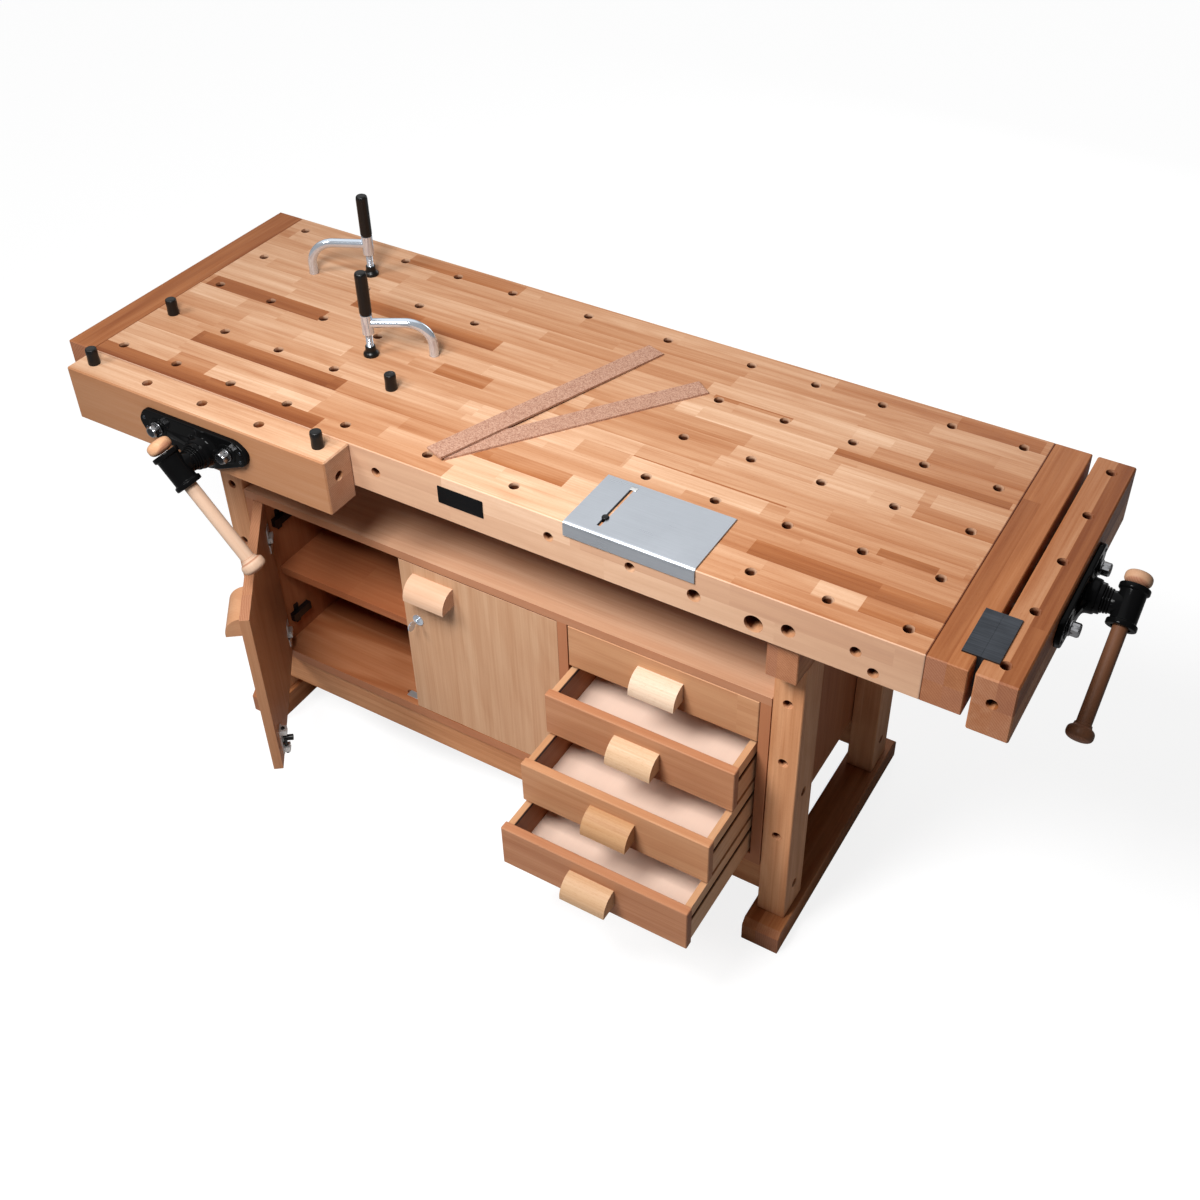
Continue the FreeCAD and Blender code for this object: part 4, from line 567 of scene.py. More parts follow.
# veneered boards: what faces the room, what lies inside (browner, a copy in painted shade), and what each
# board changes
panel = {
    "row": 0.9, "length": 5.0, "layer": 0.9, "least": 0.42, "most": 0.50, "drift": 0.2, "coat": 0.0,
    "fleck": 0.16, "figure": 0.14, "fine": 0.42, "streak": 0.2, "pale": colourOf(206, 170, 142),
    "plain": colourOf(192, 152, 124), "warm": colourOf(182, 130, 96), "dark": colourOf(150, 92, 60),
}
inner = {
    **panel, "pale": colourOf(200, 138, 98), "plain": colourOf(186, 120, 80),
    "warm": colourOf(170, 102, 66), "dark": colourOf(132, 68, 40),
}
boards = {
    "edge": colourOf(178, 118, 84),
    "doorTurn": 52.7,  # degrees about z that lay the open door's pattern square to its face
    "top": {"least": 0.24, "most": 0.30, "pale": colourOf(214, 174, 144), "plain": colourOf(200, 156, 126)},
    "bottom": {"least": 0.2, "most": 0.3, "figure": 1.0, "lines": 30.0},
    "left": {"least": 0.26, "most": 0.32, "pale": colourOf(200, 152, 116), "plain": colourOf(186, 134, 98)},
    "right": {
        "least": 0.14, "most": 0.18, "pale": colourOf(214, 174, 140), "plain": colourOf(198, 154, 120)},
}


def paintCase():
    edge = boards["edge"]
    dressWood("case_top", "case top beech", "x", 15.0, band=edge, **{**panel, **boards["top"]})
    dressWood("case_sides", "case side beech", "z", 16.0, band=edge, **inner)
    dressWood("case_divider", "divider beech", "z", 17.0, band=edge, **inner)
    dressWood("case_back", "back beech", "x", 18.0, **inner)
    dressWood("case_shelf", "shelf beech", "x", 19.0, **{**inner, "least": 0.5, "most": 0.6})
    dressWood("case_bottom", "bottom beech", "x", 21.0, band=edge, **{**inner, **boards["bottom"]})
    leftTurn = (0, 0, boards["doorTurn"])
    dressWood("left_door", "left door beech", "z", 22.0, turn=leftTurn, **{**panel, **boards["left"]})
    # painted shade on the right door's narrow sides, where they face a gap
    dressWood("right_door", "right door beech", "z", 23.0, gap=corner.y, **{**panel, **boards["right"]})


drawer = {
    "pullReach": 0.0358, "boxFloor": 0.030, "plyPale": colourOf(232, 206, 190),
    "pullPale": (colourOf(228, 204, 180), colourOf(216, 184, 150),
                 colourOf(190, 148, 108), colourOf(206, 170, 134)),
    "tones": (0.46, 0.64, 0.48, 0.72), "toneSpread": 0.02,
    "front": {"pale": colourOf(218, 176, 138), "plain": colourOf(208, 158, 118),
              "warm": colourOf(194, 140, 104), "dark": colourOf(166, 106, 76)},
    "box": {"least": 0.10, "most": 0.16, "pale": colourOf(228, 184, 146), "plain": colourOf(216, 168, 128)},
}


def paintDrawers():
    for number, pullPale, tone in zip((1, 2, 3, 4), drawer["pullPale"], drawer["tones"]):
        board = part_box(f"drawer_front_{number}")[0].y + drawer["pullReach"]
        # painted shade on the top drawer's narrow sides, where they face a gap
        gapShading = {"gap": board} if number == 1 else {}
        tones = {"least": tone - drawer["toneSpread"], "most": tone + drawer["toneSpread"]}
        dressWood(f"drawer_front_{number}", f"drawer front beech {number}", "x", 24.0 + number, pull=board,
                  pullPale=pullPale, **gapShading, **{**panel, **tones, **drawer["front"]})
        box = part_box(f"drawer_box_{number}")
        dressWood(f"drawer_box_{number}", f"drawer box beech {number}", "y", 34.0 + number, grooved=box,
                  floorOf=box[0].z + drawer["boxFloor"], plyPale=drawer["plyPale"],
                  **{**panel, **drawer["box"]})
    dressWood("drawer_runners", "runner beech", "y", 41.0, **inner)


maple = {
    "row": 0.9, "length": 5.0, "layer": 0.9, "least": 0.0, "most": 0.05, "pale": colourOf(224, 188, 160),
    "fleck": 0.1, "figure": 0.1, "fine": 0.3, "streak": 0.15, "broad": 0.3, "drift": 0.0,
}
handles = {
    "frontLean": 40.6, "endLean": 54.0,  # degrees from upright
    "frontPale": colourOf(208, 180, 158), "frontKnob": colourOf(218, 170, 132),
    # the end handle: a browner wood than the front handle, darkened further as painted shade
    "endWoodAndShade": {"least": 0.60, "most": 0.62, "warm": colourOf(100, 64, 44)},
    "endKnob": colourOf(198, 158, 128),
}


def paintPulls():
    dressWood("left_door_pull", "left pull maple", "x", 42.0, **{**maple, "least": 0.3, "most": 0.4})
    dressWood("right_door_pull", "right pull maple", "x", 43.0, **maple)
    paints["frontHandle"] = woodPaint("front handle maple", "z", 44.0, turn=(0, handles["frontLean"], 0),
                                      **{**maple, "pale": handles["frontPale"]})
    paints["frontKnob"] = woodPaint("front knob maple", "x", 46.0, **{**maple, "pale": handles["frontKnob"]})
    paints["endHandle"] = woodPaint("end handle maple", "z", 45.0, turn=(handles["endLean"], 0, 0),
                                    **{**maple, **handles["endWoodAndShade"]})
    paints["endKnob"] = woodPaint("end knob maple", "y", 47.0, **{**maple, "pale": handles["endKnob"]})


# Metal: its colour swings between itself and a darker share of itself by a soft cloud and a brushed noise.
def metalPaint(name, colour, rough, grain, metal=1.0, least=0.82, **shader):
    paint, skin, place, normal = newPaint(name, Metallic=metal, **shader)
    brush = place.noise(grain, 3.0)
    cloud = place.noise((14.0, 14.0, 14.0), 3.0)
    mixed = cloud * 0.5 + brush * 0.5
    stops = [(0.3, tuple(number * least for number in colour)), (0.7, colour)]
    tone = cloud.add("ShaderNodeValToRGB", {"stops": stops}, {0: mixed})
    feed(skin, Base_Color=tone, Roughness=mixed.ramp(0.25, 0.75, rough * 0.8, rough * 1.25))
    bumped(skin, brush, 0.00006, 0.5)
    return paint


# grain is how often the brushed noise changes per metre, along x, y and z
metals = {
    "enamel": dict(name="black enamel", colour=(0.004, 0.004, 0.0042), rough=0.11, grain=(90.0, 90.0, 90.0),
                   metal=0.0, Specular_IOR_Level=0.06),
    "zinc": dict(name="zinc plate", colour=(0.36, 0.36, 0.37), rough=0.24, grain=(60.0, 60.0, 60.0)),
    "chrome": dict(name="polished chrome", colour=(0.68, 0.75, 0.84), rough=0.10, grain=(30.0, 30.0, 30.0),
                   metal=0.72, least=0.92),
    "sheet": dict(name="brushed sheet", colour=(0.53, 0.56, 0.605), rough=0.30, grain=(6.0, 500.0, 500.0),
                  metal=0.84, least=0.84),
    "dark": dict(name="dark sheet", colour=(0.085, 0.093, 0.108), rough=0.36, grain=(12.0, 500.0, 30.0),
                 least=0.35),
    "nickel": dict(name="nickel plate", colour=(0.78, 0.78, 0.77), rough=0.28, grain=(60.0, 60.0, 60.0),
                   metal=0.7),
    "grip": dict(name="black grip", colour=(0.006, 0.0058, 0.0058), rough=0.33, grain=(400.0, 400.0, 400.0),
                 metal=0.0, Specular_IOR_Level=0.30),
}
metalNodes = {
    "enamel": ("front_vise_plate", "end_vise_plate", "front_vise_screw", "end_vise_screw",
               "front_vise_bracket", "end_vise_bracket"),
    "zinc": ("front_guide_rods", "end_guide_rods", "frame_bolts"),
    "nickel": ("left_door_hardware", "right_door_hardware"),
    "dark": ("hinge_plates", "fixed_jaw_liner", "moving_jaw_liner"),
    "chrome": ("hold_down_1_arm", "hold_down_2_arm", "door_lock", "lock_key"),
    "grip": ("hold_down_1_spindle", "hold_down_2_spindle", "hold_down_1_foot", "hold_down_2_foot",
             "dog_1", "dog_2", "dog_3", "dog_4", "left_door_bolt", "plate_clamp"),
    "sheet": ("steel_plate",),
}
cork = {
    "grains": 620.0, "dust": 500.0,  # per metre
    "dark": colourOf(146, 102, 82), "plain": colourOf(178, 134, 111), "pale": colourOf(194, 154, 132),
}


def paintMetals():
    for key, look in metals.items():
        paints[key] = metalPaint(**look)
    for key, names in metalNodes.items():
        for name in names:
            paintNode(name, paints[key])


# Cork: cells, each with its own random tone, mixed with a fine noise.
def paintCork():
    paint, skin, place, normal = newPaint("cork", Roughness=0.8)
    cells = place.add("ShaderNodeTexVoronoi", {}, {"Vector": place, "Scale": cork["grains"]}, 1)
    value = cells.parts()[0] * 0.6 + place.noise((cork["dust"],) * 3) * 0.4
    stops = [(0.2, cork["dark"]), (0.5, cork["plain"]), (0.8, cork["pale"])]
    feed(skin, Base_Color=value.add("ShaderNodeValToRGB", {"stops": stops}, {0: value}))
    bumped(skin, value, 0.0004, 0.7)
    paintNode("cork_strips", paint)


vise = {
    # the screw's line and the guide rods' lines, from the middle between the rods
    "screwSide": 0.023, "screwLow": 0.012, "guideHalf": 0.081, "guideDrop": 0.052, "guideRadius": 0.011,
    # the casting: its outline, plate, bosses, hub and the ring on the hub
    "corners": [(-0.1115, 0.031), (0.104, 0.031), (0.1275, 0.013), (0.122, -0.014), (0.1005, -0.023),
                (0.045, -0.048), (0.001, -0.046), (-0.060, -0.030), (-0.1125, -0.023), (-0.1275, 0.004)],
    "middle": (0.012, -0.004), "plateThick": 0.010, "plateEdge": 0.0030, "plateBack": 0.0005,
    "bossRadius": 0.0205, "bossFlat": 0.0180, "bossRise": 0.0015, "bossBore": 0.0085,
    "hubBase": 0.0385, "hubNose": 0.0290, "hubReach": 0.028, "hubBore": 0.0125,
    "ringRadius": 0.0258, "ringReach": 0.036,
    # its ribs run out from the hub to the left, to the right and upwards
    "ribLeft": 0.090, "ribRight": 0.052, "ribUp": 0.052, "ribWide": 0.0085, "ribUpWide": 0.011,
    "ribLift": 0.006, "ribShare": 0.85, "ribUpShare": 0.90, "ribBlend": 900.0,
    "smallScrews": ((0.1125, 0.0115), (0.1095, -0.0085)), "smallSunk": 0.0008,
    # the cross head, its neck and the screw
    "teeReach": 0.075, "teeHalf": 0.0355, "teeRadius": 0.0212, "flange": 0.0250, "flangeThick": 0.009,
    "boreRadius": 0.0130, "boreWiden": 0.0024, "boreDeep": 0.0045,
    "neckRadius": 0.0190, "neckRing": 0.0226, "neckTaper": 0.0009, "neckStep": 0.0045,
    "shaftRadius": 0.012, "shaftSunk": 0.002, "threadDepth": 0.0016, "threadPitch": 0.005,
    # the handle: its bar, and a knob at each end
    "handleLength": 0.235, "barRadius": 0.0124, "collarRise": 0.0022,
    "knobRadius": 0.0222, "knobLength": 0.0255, "knobShape": 2.7,
    # at the front end of each guide rod: a washer, a nut and the stud
    "washerBore": 0.0082, "washerRadius": 0.0132, "washerLow": 0.0125, "washerHigh": 0.0150,
    "nutLow": 0.0151, "nutAcross": 0.0215, "nutHeight": 0.014, "nutBore": 0.0078,
    "studRoot": 0.0072, "studCrest": 0.0079, "studLength": 0.0297, "studPitch": 0.0015,
}


def viseSizes(*names):
    return [vise[name] for name in names]


class ViseSpace:
    # a vise's own directions: u along the jaw, w outwards from its face, v upwards
    def __init__(self, kind):
        jaw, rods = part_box(f"{kind}_jaw"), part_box(f"{kind}_guide_rods")
        middle = (rods[0] + rods[1]) / 2
        height = topHeight - vise["guideDrop"]
        if kind == "front":
            along, out, origin = (1, 0, 0), (0, -1, 0), (middle.x, jaw[0].y, height)
            self.deep = rods[1].y - jaw[0].y  # how far the rods reach inwards
        else:
            along, out, origin = (0, 1, 0), (1, 0, 0), (jaw[1].x, middle.y, height)
            self.deep = jaw[1].x - rods[0].x
        self.along, self.out, self.origin = (np.array(value, float) for value in (along, out, origin))
        self.up = np.array((0.0, 0.0, 1.0))

    def place(self, u, w, v):
        spot = self.origin
        for size, way in ((u, self.along), (w, self.out), (v, self.up)):
            spot = spot + np.multiply.outer(size, way)
        return spot

    def screwFoot(self):
        return self.place(vise["screwSide"], 0.0, -vise["screwLow"])

    def teeCentre(self):
        return self.place(vise["screwSide"], vise["teeReach"], -vise["screwLow"])


# Casting: rings from the middle out to a closed outline whose corners are smoothed by an even
# average; its height is the smooth greatest of a plate with eased edges and three ribs that
# fall away from the screw's hub.
def castPlate(space, rings=64, count=360, roundness=15):
    corners = np.array(vise["corners"] + vise["corners"][:1])
    run = np.concatenate([[0], np.cumsum(np.linalg.norm(np.diff(corners, axis=0), axis=1))])
    along = np.linspace(0, run[-1], count, endpoint=False)
    edge = np.stack([np.interp(along, run, corners[:, 0]), np.interp(along, run, corners[:, 1])], -1)
    window = np.zeros(count)
    window[: roundness // 2 + 1] = window[-(roundness // 2):] = 1 / roundness
    edge = np.fft.ifft(np.fft.fft(edge, axis=0) * np.fft.fft(window)[:, None], axis=0).real
    middle = np.array(vise["middle"])
    share = 1 - (1 - np.linspace(0, 1, rings)) ** 1.15
    flat = middle + share[:, None, None] * (edge - middle)[None]
    u, v = flat[..., 0], flat[..., 1]
    margin = np.linalg.norm(edge - middle, axis=1)[None, :] * (1 - share[:, None])
    side, low, thick, ease, back = viseSizes("screwSide", "screwLow", "plateThick", "plateEdge", "plateBack")
    fall = lambda distance, reach: np.clip(1 - np.clip(distance, 0, 1) / reach, 0, 1)
    ridge = lambda gap, wide: np.clip(1.2 - (gap / wide) ** 2, 0, 1)
    rise = vise["hubReach"] - thick
    level = rise * vise["ribShare"] * ridge(v + low - vise["ribLift"], vise["ribWide"])
    upright = rise * vise["ribUpShare"] * ridge(u - side, vise["ribUpWide"])
    ribs = [level * fall(side - u, vise["ribLeft"]) * (u < side),
            level * fall(u - side, vise["ribRight"]) * (u >= side),
            upright * fall(v + low, vise["ribUp"]) * (v > -low)]
    blend = vise["ribBlend"]
    parts = np.exp(np.stack([np.zeros_like(u), *ribs]) * blend)
    height = thick + np.log(parts.sum(0)) / blend - np.log(4) / blend
    height = height - ease * (1 - np.sqrt(np.clip(1 - (1 - np.clip(margin / ease, 0, 1)) ** 2, 0, 1)))
    wall = space.place(edge[:, 0], np.full(count, back), edge[:, 1])[None]
    centre = space.place(np.full(count, middle[0]), np.full(count, back), np.full(count, middle[1]))[None]
    return np.concatenate([space.place(u, height, v), wall, centre])


# Tee: a tube about the handle's line with a rim at each end, and a neck of three rings, each a little
# smaller than the last, turned about the screw's line.
def teeGrids(space, lean):
    half, radius, rim, thick, bore = viseSizes("teeHalf", "teeRadius", "flange", "flangeThick", "boreRadius")
    mouth, deep, cut = bore + vise["boreWiden"], half - vise["boreDeep"], thick - half + 0.0015
    profile = [(bore, -deep), (mouth, -deep), (mouth, -half), (rim, -half), (rim, thick - half),
               (radius, cut), (radius, -cut), (rim, half - thick), (rim, half), (mouth, half),
               (mouth, deep), (bore, deep)]
    ease = [0, 0, 0.0010, 0.0026, 0.0020, 0.0016, 0.0016, 0.0020, 0.0026, 0.0010, 0, 0]
    tube = lathe(space.teeCentre(), lean, eased(profile, ease), 56)
    tube = np.concatenate([tube, tube[:1]])
    start, end = vise["ringReach"] + 0.0003, vise["teeReach"] - 0.006
    neck = vise["neckRadius"]
    steps, ease = [(0, start)], [0]
    for number in range(3):
        low, ring = start + number * vise["neckStep"], vise["neckRing"] - number * vise["neckTaper"]
        steps += [(ring, low), (ring, low + 0.0030), (neck, low + 0.0034), (neck, low + 0.0042)]
        ease += [0.0008, 0.0012, 0.0003, 0.0002]
    steps += [(neck + 0.0008, start + 0.019), (neck, end), (0, end)]
    return [tube, lathe(space.screwFoot(), space.out, eased(steps, ease + [0.003, 0.001, 0]), 56)]


# Knob: the rounded box (r / knob)^n + (h / half)^n = 1, as powers 2 / n of the cosine and sine of one angle.
def knobProfile(low, high, count=33):
    turn = np.linspace(-pi / 2, pi / 2, count)
    power = 2 / vise["knobShape"]
    radius = vise["knobRadius"] * np.clip(np.cos(turn), 0, 1) ** power
    radius[[0, -1]] = 0.0
    level = (low + high) / 2 + (high - low) / 2 * np.sign(turn) * np.abs(np.sin(turn)) ** power
    return np.stack([radius, level], -1)


# Handle: a low knob with a thin collar and the bar above it in one profile, and the high knob in another.
def handleGrids(space, lean):
    bar, length = viseSizes("barRadius", "knobLength")
    high = vise["teeHalf"] + 0.0003
    low = high - vise["handleLength"]
    foot = knobProfile(low - length, low)
    collar = bar + vise["collarRise"]
    foot = foot[(foot[:, 1] < low - length / 2) | (foot[:, 0] > collar)]
    shaft = eased([(collar, low - 0.0002), (collar - 0.0004, low + 0.0030), (bar, low + 0.0036),
                   (bar, high - 0.0002), (0, high - 0.0002)], [0.0003, 0.0006, 0.0003, 0, 0])
    return [lathe(space.teeCentre(), lean, np.concatenate([foot, shaft]), 64),
            lathe(space.teeCentre(), lean, knobProfile(high, high + length), 64)]


# Nut: a lathe of six corners whose two faces are cut back by a cone, kept as the lesser of hexagon and cone.
def nutGrid(foot, axis, count=72):
    across, height, bore = viseSizes("nutAcross", "nutHeight", "nutBore")
    half = across / 2
    axis, side, front = square(axis)
    angle = np.linspace(0, tau, count, endpoint=False)
    hexagon = half / np.cos((angle + pi / 6) % (pi / 3) - pi / 6)
    level = np.array([0, 0, 0.0010, height - 0.0022, height, height])
    limit = np.array([bore, half - 0.0004, half + 0.0020, half + 0.0022, half - 0.0008, bore])
    radius = np.minimum(hexagon[None, :], limit[:, None])[:, :, None]
    ring = np.cos(angle)[None, :, None] * side + np.sin(angle)[None, :, None] * front
    return np.array(foot) + level[:, None, None] * axis + radius * ring


def closed(profile):  # a profile that ends where it starts
    return np.concatenate([profile, profile[:1]])


def makeCasting(kind, space):
    body, black = f"{kind}_vise", paints["enamel"]
    plate = makePiece(f"{kind}-vise-casting", castPlate(space), black, body, sharp=50)
    base, nose, reach, thick = viseSizes("hubBase", "hubNose", "hubReach", "plateThick")
    ring, tip, bore = viseSizes("ringRadius", "ringReach", "hubBore")
    hub = [(bore, thick - 0.002), (base, thick - 0.002), (base, thick - 0.0004),
           (nose + 0.0012, thick + 0.0028), (nose, reach - 0.002), (nose - 0.001, reach),
           (ring + 0.0005, reach + 0.0002), (ring, reach + 0.0012), (ring, tip), (bore, tip)]
    hub = eased(hub, [0, 0, 0.0004, 0.006, 0.002, 0.0008, 0.0005, 0.0004, 0.0016, 0.0005], 7)
    rounds = [lathe(space.screwFoot(), space.out, closed(hub), 72)]
    wide, flat, rise, bore = viseSizes("bossRadius", "bossFlat", "bossRise", "bossBore")
    boss = eased([(bore, thick - 0.002), (wide, thick - 0.002), (wide, thick + rise * 0.5),
                  (flat, thick + rise), (bore, thick + rise)], [0, 0, 0.001, 0.0012, 0])
    head = eased([(0, 0.0005), (0.0038, 0.0005), (0.0038, 0.0005), (0.0033, 0.0014), (0.0018, 0.0020),
                  (0, 0.0022)], [0, 0, 0.0004, 0.001, 0.001, 0])
    screws = []
    for side in (-1, 1):
        rounds.append(lathe(space.place(side * vise["guideHalf"], 0.0, 0.0), space.out, closed(boss), 56))
        for u, v in vise["smallScrews"]:
            screws.append(lathe(space.place(side * u, thick - vise["smallSunk"], v), space.out, head, 28))
    makePiece(f"{kind}-vise-hub", rounds, black, body)
    makePiece(f"{kind}-vise-screws", screws, paints["dark"], body)
    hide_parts(f"{kind}_vise_plate")


def makeScrew(kind, space, lean):
    radius, sunk, end = vise["shaftRadius"], vise["shaftSunk"], vise["ringReach"] + vise["shaftSunk"]
    shaft = lathe(space.screwFoot(), space.out, [(0, -sunk), (radius, -sunk), (radius, end), (0, end)], 40)
    root, pitch = radius - vise["threadDepth"], vise["threadPitch"]
    turning = thread(space.screwFoot(), -space.out, root, radius, space.deep, pitch)
    body = f"{kind}_screw"
    head = makePiece(f"{kind}-screw-head", teeGrids(space, lean), paints["enamel"], body)
    makePiece(f"{kind}-screw", [shaft, turning], paints["dark"], body, sharp=30)
    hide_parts(f"{kind}_vise_screw")


def makeHandle(kind, space, lean):
    barGrid, knobGrid = handleGrids(space, lean)
    body = f"{kind}_bar"
    bar = makePiece(f"{kind}-handle", barGrid, paints[f"{kind}Handle"], body, sharp=60)
    makePiece(f"{kind}-handle-knob", knobGrid, paints[f"{kind}Knob"], body, sharp=60)
    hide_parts(f"{kind}_handle")


def makeGuides(kind, space):
    body, radius = f"{kind}_vise", vise["guideRadius"]
    rod = eased([(0, -space.deep), (radius, -space.deep), (radius, 0), (0, 0)], [0, 0.0012, 0.0005, 0])
    bore, wide, low, high = viseSizes("washerBore", "washerRadius", "washerLow", "washerHigh")
    washer = eased([(bore, low), (wide, low), (wide, high), (bore, high)], 0.0005)
    stud = viseSizes("studRoot", "studCrest", "studLength", "studPitch")
    rods, nuts, studs = [], [], []
    for side in (-1, 1):
        foot = space.place(side * vise["guideHalf"], 0.0, 0.0)
        rods.append(lathe(foot, space.out, rod, 40))
        studs.append(thread(foot, space.out, *stud, 28, 6))
        nuts.append(lathe(foot, space.out, closed(washer), 48))
        nuts.append(nutGrid(foot + space.out * vise["nutLow"], space.out))
    guides = makePiece(f"{kind}-guides", rods, paints["zinc"], body, sharp=30)
    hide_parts(f"{kind}_guide_rods")
    makePiece(f"{kind}-nuts", nuts, paints["zinc"], body, sharp=25)
    makePiece(f"{kind}-studs", studs, paints["dark"], body, sharp=25)


def makeVise(kind, lean):
    space = ViseSpace(kind)
    makeCasting(kind, space)
    makeScrew(kind, space, lean)
    makeHandle(kind, space, lean)
    makeGuides(kind, space)


peg = {
    # dogs, as heights above and depths under the top
    "dogShank": 0.0092, "dogHead": 0.0110, "dogLow": 0.060, "dogHigh": 0.033, "dogWaist": 0.0007,
    # hold-downs: the grip and its flutes, the threaded rod, the foot
    "gripRadius": 0.0115, "gripLow": 0.0863, "gripHigh": 0.1733, "gripFlutes": 12, "fluteDepth": 0.0007,
    "rodRadius": 0.0065, "rodLow": 0.0108, "rodDepth": 0.0007, "rodPitch": 0.0016,
    "padRadius": 0.0145, "padLow": 0.0003, "padHigh": 0.0203, "padNeck": 0.0095,
    "cupRadius": 0.0067, "cupLow": 0.0103,  # the cup in the foot, in which the rod stands
}


def standAt(node):  # the place on the worktop under a node's middle
    low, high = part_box(node)
    middle = (low + high) / 2
    return middle.x, middle.y, topHeight


def makeDogs():
    shank, head, low, high = (peg[name] for name in ("dogShank", "dogHead", "dogLow", "dogHigh"))
    profile = eased([(0, -low), (shank - 0.002, -low), (shank, 0.002 - low), (shank, 0.0003), (head, 0.0003),
                     (head, 0.006), (head - peg["dogWaist"], 0.016), (head, high - 0.006),
                     (head - 0.0008, high - 0.0012), (head - 0.004, high), (0, high)],
                    [0, 0.0005, 0.0005, 0, 0.0004, 0.004, 0.005, 0.003, 0.0012, 0.0012, 0])
    for number in (1, 2, 3, 4):
        grid = lathe(standAt(f"dog_{number}"), (0, 0, 1), profile, 40)
        dog = makePiece(f"bench-dog-{number}", grid, paints["grip"], f"peg_{number}")
        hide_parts(f"dog_{number}")


def makeHoldDowns():
    up = (0, 0, 1)
    grip, low, high = peg["gripRadius"], peg["gripLow"], peg["gripHigh"]
    sleeve = eased([(0, low), (grip - 0.0012, low), (grip, low + 0.004), (grip, high - 0.006),
                    (grip - 0.0015, high - 0.001), (0, high)], [0, 0.001, 0.002, 0.003, 0.003, 0])
    fluted = np.interp(sleeve[:, 1], [low + 0.004, low + 0.009, high - 0.012, high - 0.006], [0, 1, 1, 0])
    cup, base = peg["cupRadius"], peg["cupLow"]
    wide, neck, under, top = peg["padRadius"], peg["padNeck"], peg["padLow"], peg["padHigh"]
    pad = [(0, base), (cup, base), (cup, top), (neck, top), (neck, top - 0.004), (neck + 0.0005, 0.0105),
           (wide, 0.0055), (wide, under), (0, under)]
    pad = eased(pad, [0, 0, 0.0005, 0.0015, 0.001, 0.003, 0.003, 0.0008, 0])
    radius, rodLow = peg["rodRadius"], peg["rodLow"]
    for number in (1, 2):
        foot = standAt(f"hold_down_{number}_foot")
        grid = lathe(foot, up, sleeve, 96, peg["gripFlutes"], peg["fluteDepth"], fluted)
        body = f"spindle_{number}"
        handle = makePiece(f"hold-down-grip-{number}", grid, paints["grip"], body)
        rod = thread(np.array(foot) + (0, 0, rodLow), up, radius - peg["rodDepth"], radius,
                     low - rodLow + 0.0005, peg["rodPitch"], 24, 6)
        makePiece(f"hold-down-spindle-{number}", rod, paints["chrome"], body, sharp=30)
        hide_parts(f"hold_down_{number}_spindle")
        grid = lathe(foot, up, pad, 56)
        shoe = makePiece(f"hold-down-foot-{number}", grid, paints["grip"], f"pad_{number}")
        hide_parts(f"hold_down_{number}_foot")


drawnIn = 9.0  # the inset of a ring that is drawn together in the middle


# Plate: rings of a rectangle with rounded corners, each ring with its own inset and height.
def roundedPlate(left, right, low, high, radius, rings):
    angle = np.linspace(0, tau, 64, endpoint=False)
    cornerX, cornerZ = np.sign(np.cos(angle)), np.sign(np.sin(angle))
    middleX, middleZ = (left + right) / 2, (low + high) / 2
    halfX, halfZ = (right - left) / 2, (high - low) / 2
    inset, height = np.array(rings, float).T
    bend = np.maximum(radius - inset, 0.0)[:, None]
    sharper = np.maximum(inset - radius, 0)[:, None]
    spread = np.where(inset[:, None] < drawnIn, 1.0, 0.0)
    x = middleX + spread * (cornerX * (halfX - radius) + np.cos(angle) * bend - cornerX * sharper)
    z = middleZ + spread * (cornerZ * (halfZ - radius) + np.sin(angle) * bend - cornerZ * sharper)
    return x, z, height[:, None] * np.ones_like(x)


bentSheet = {
    "thick": 0.0030, "bend": 0.0075, "ease": 0.0004,
    "slotLeft": 0.0520, "slotWide": 0.0070, "slotFront": 0.017, "slotBack": 0.131,
    # the rail, from the slot's left side, and how far the stop reaches past the slot's sides and end
    "railFrom": -0.0002, "railTo": 0.0018, "railHigh": 0.0024, "railEdge": 0.0003,
    "stopLeft": 0.0010, "stopRight": 0.0045, "stopFront": 0.0085, "stopBack": 0.0010, "stopHigh": 0.0006,
}


# Sheet: both sides of a line (flat, then a quarter circle, then down) at half the thickness from it,
# carried across the width; at a closed end the two sides meet on the line.
def sheetBand(line, ends):
    step = np.gradient(line, axis=0)
    outward = np.stack([-step[:, 1], step[:, 0]], -1) / np.linalg.norm(step, axis=1, keepdims=True)
    x, share = np.array(ends, float).T
    half = bentSheet["thick"] / 2
    loop = np.concatenate([line - outward * half, (line + outward * half)[::-1]])
    middle = np.concatenate([line, line[::-1]])
    section = middle + share[:, None, None] * (loop - middle)
    return np.concatenate([np.broadcast_to(x[:, None, None], (len(x), len(loop), 1)), section], -1)


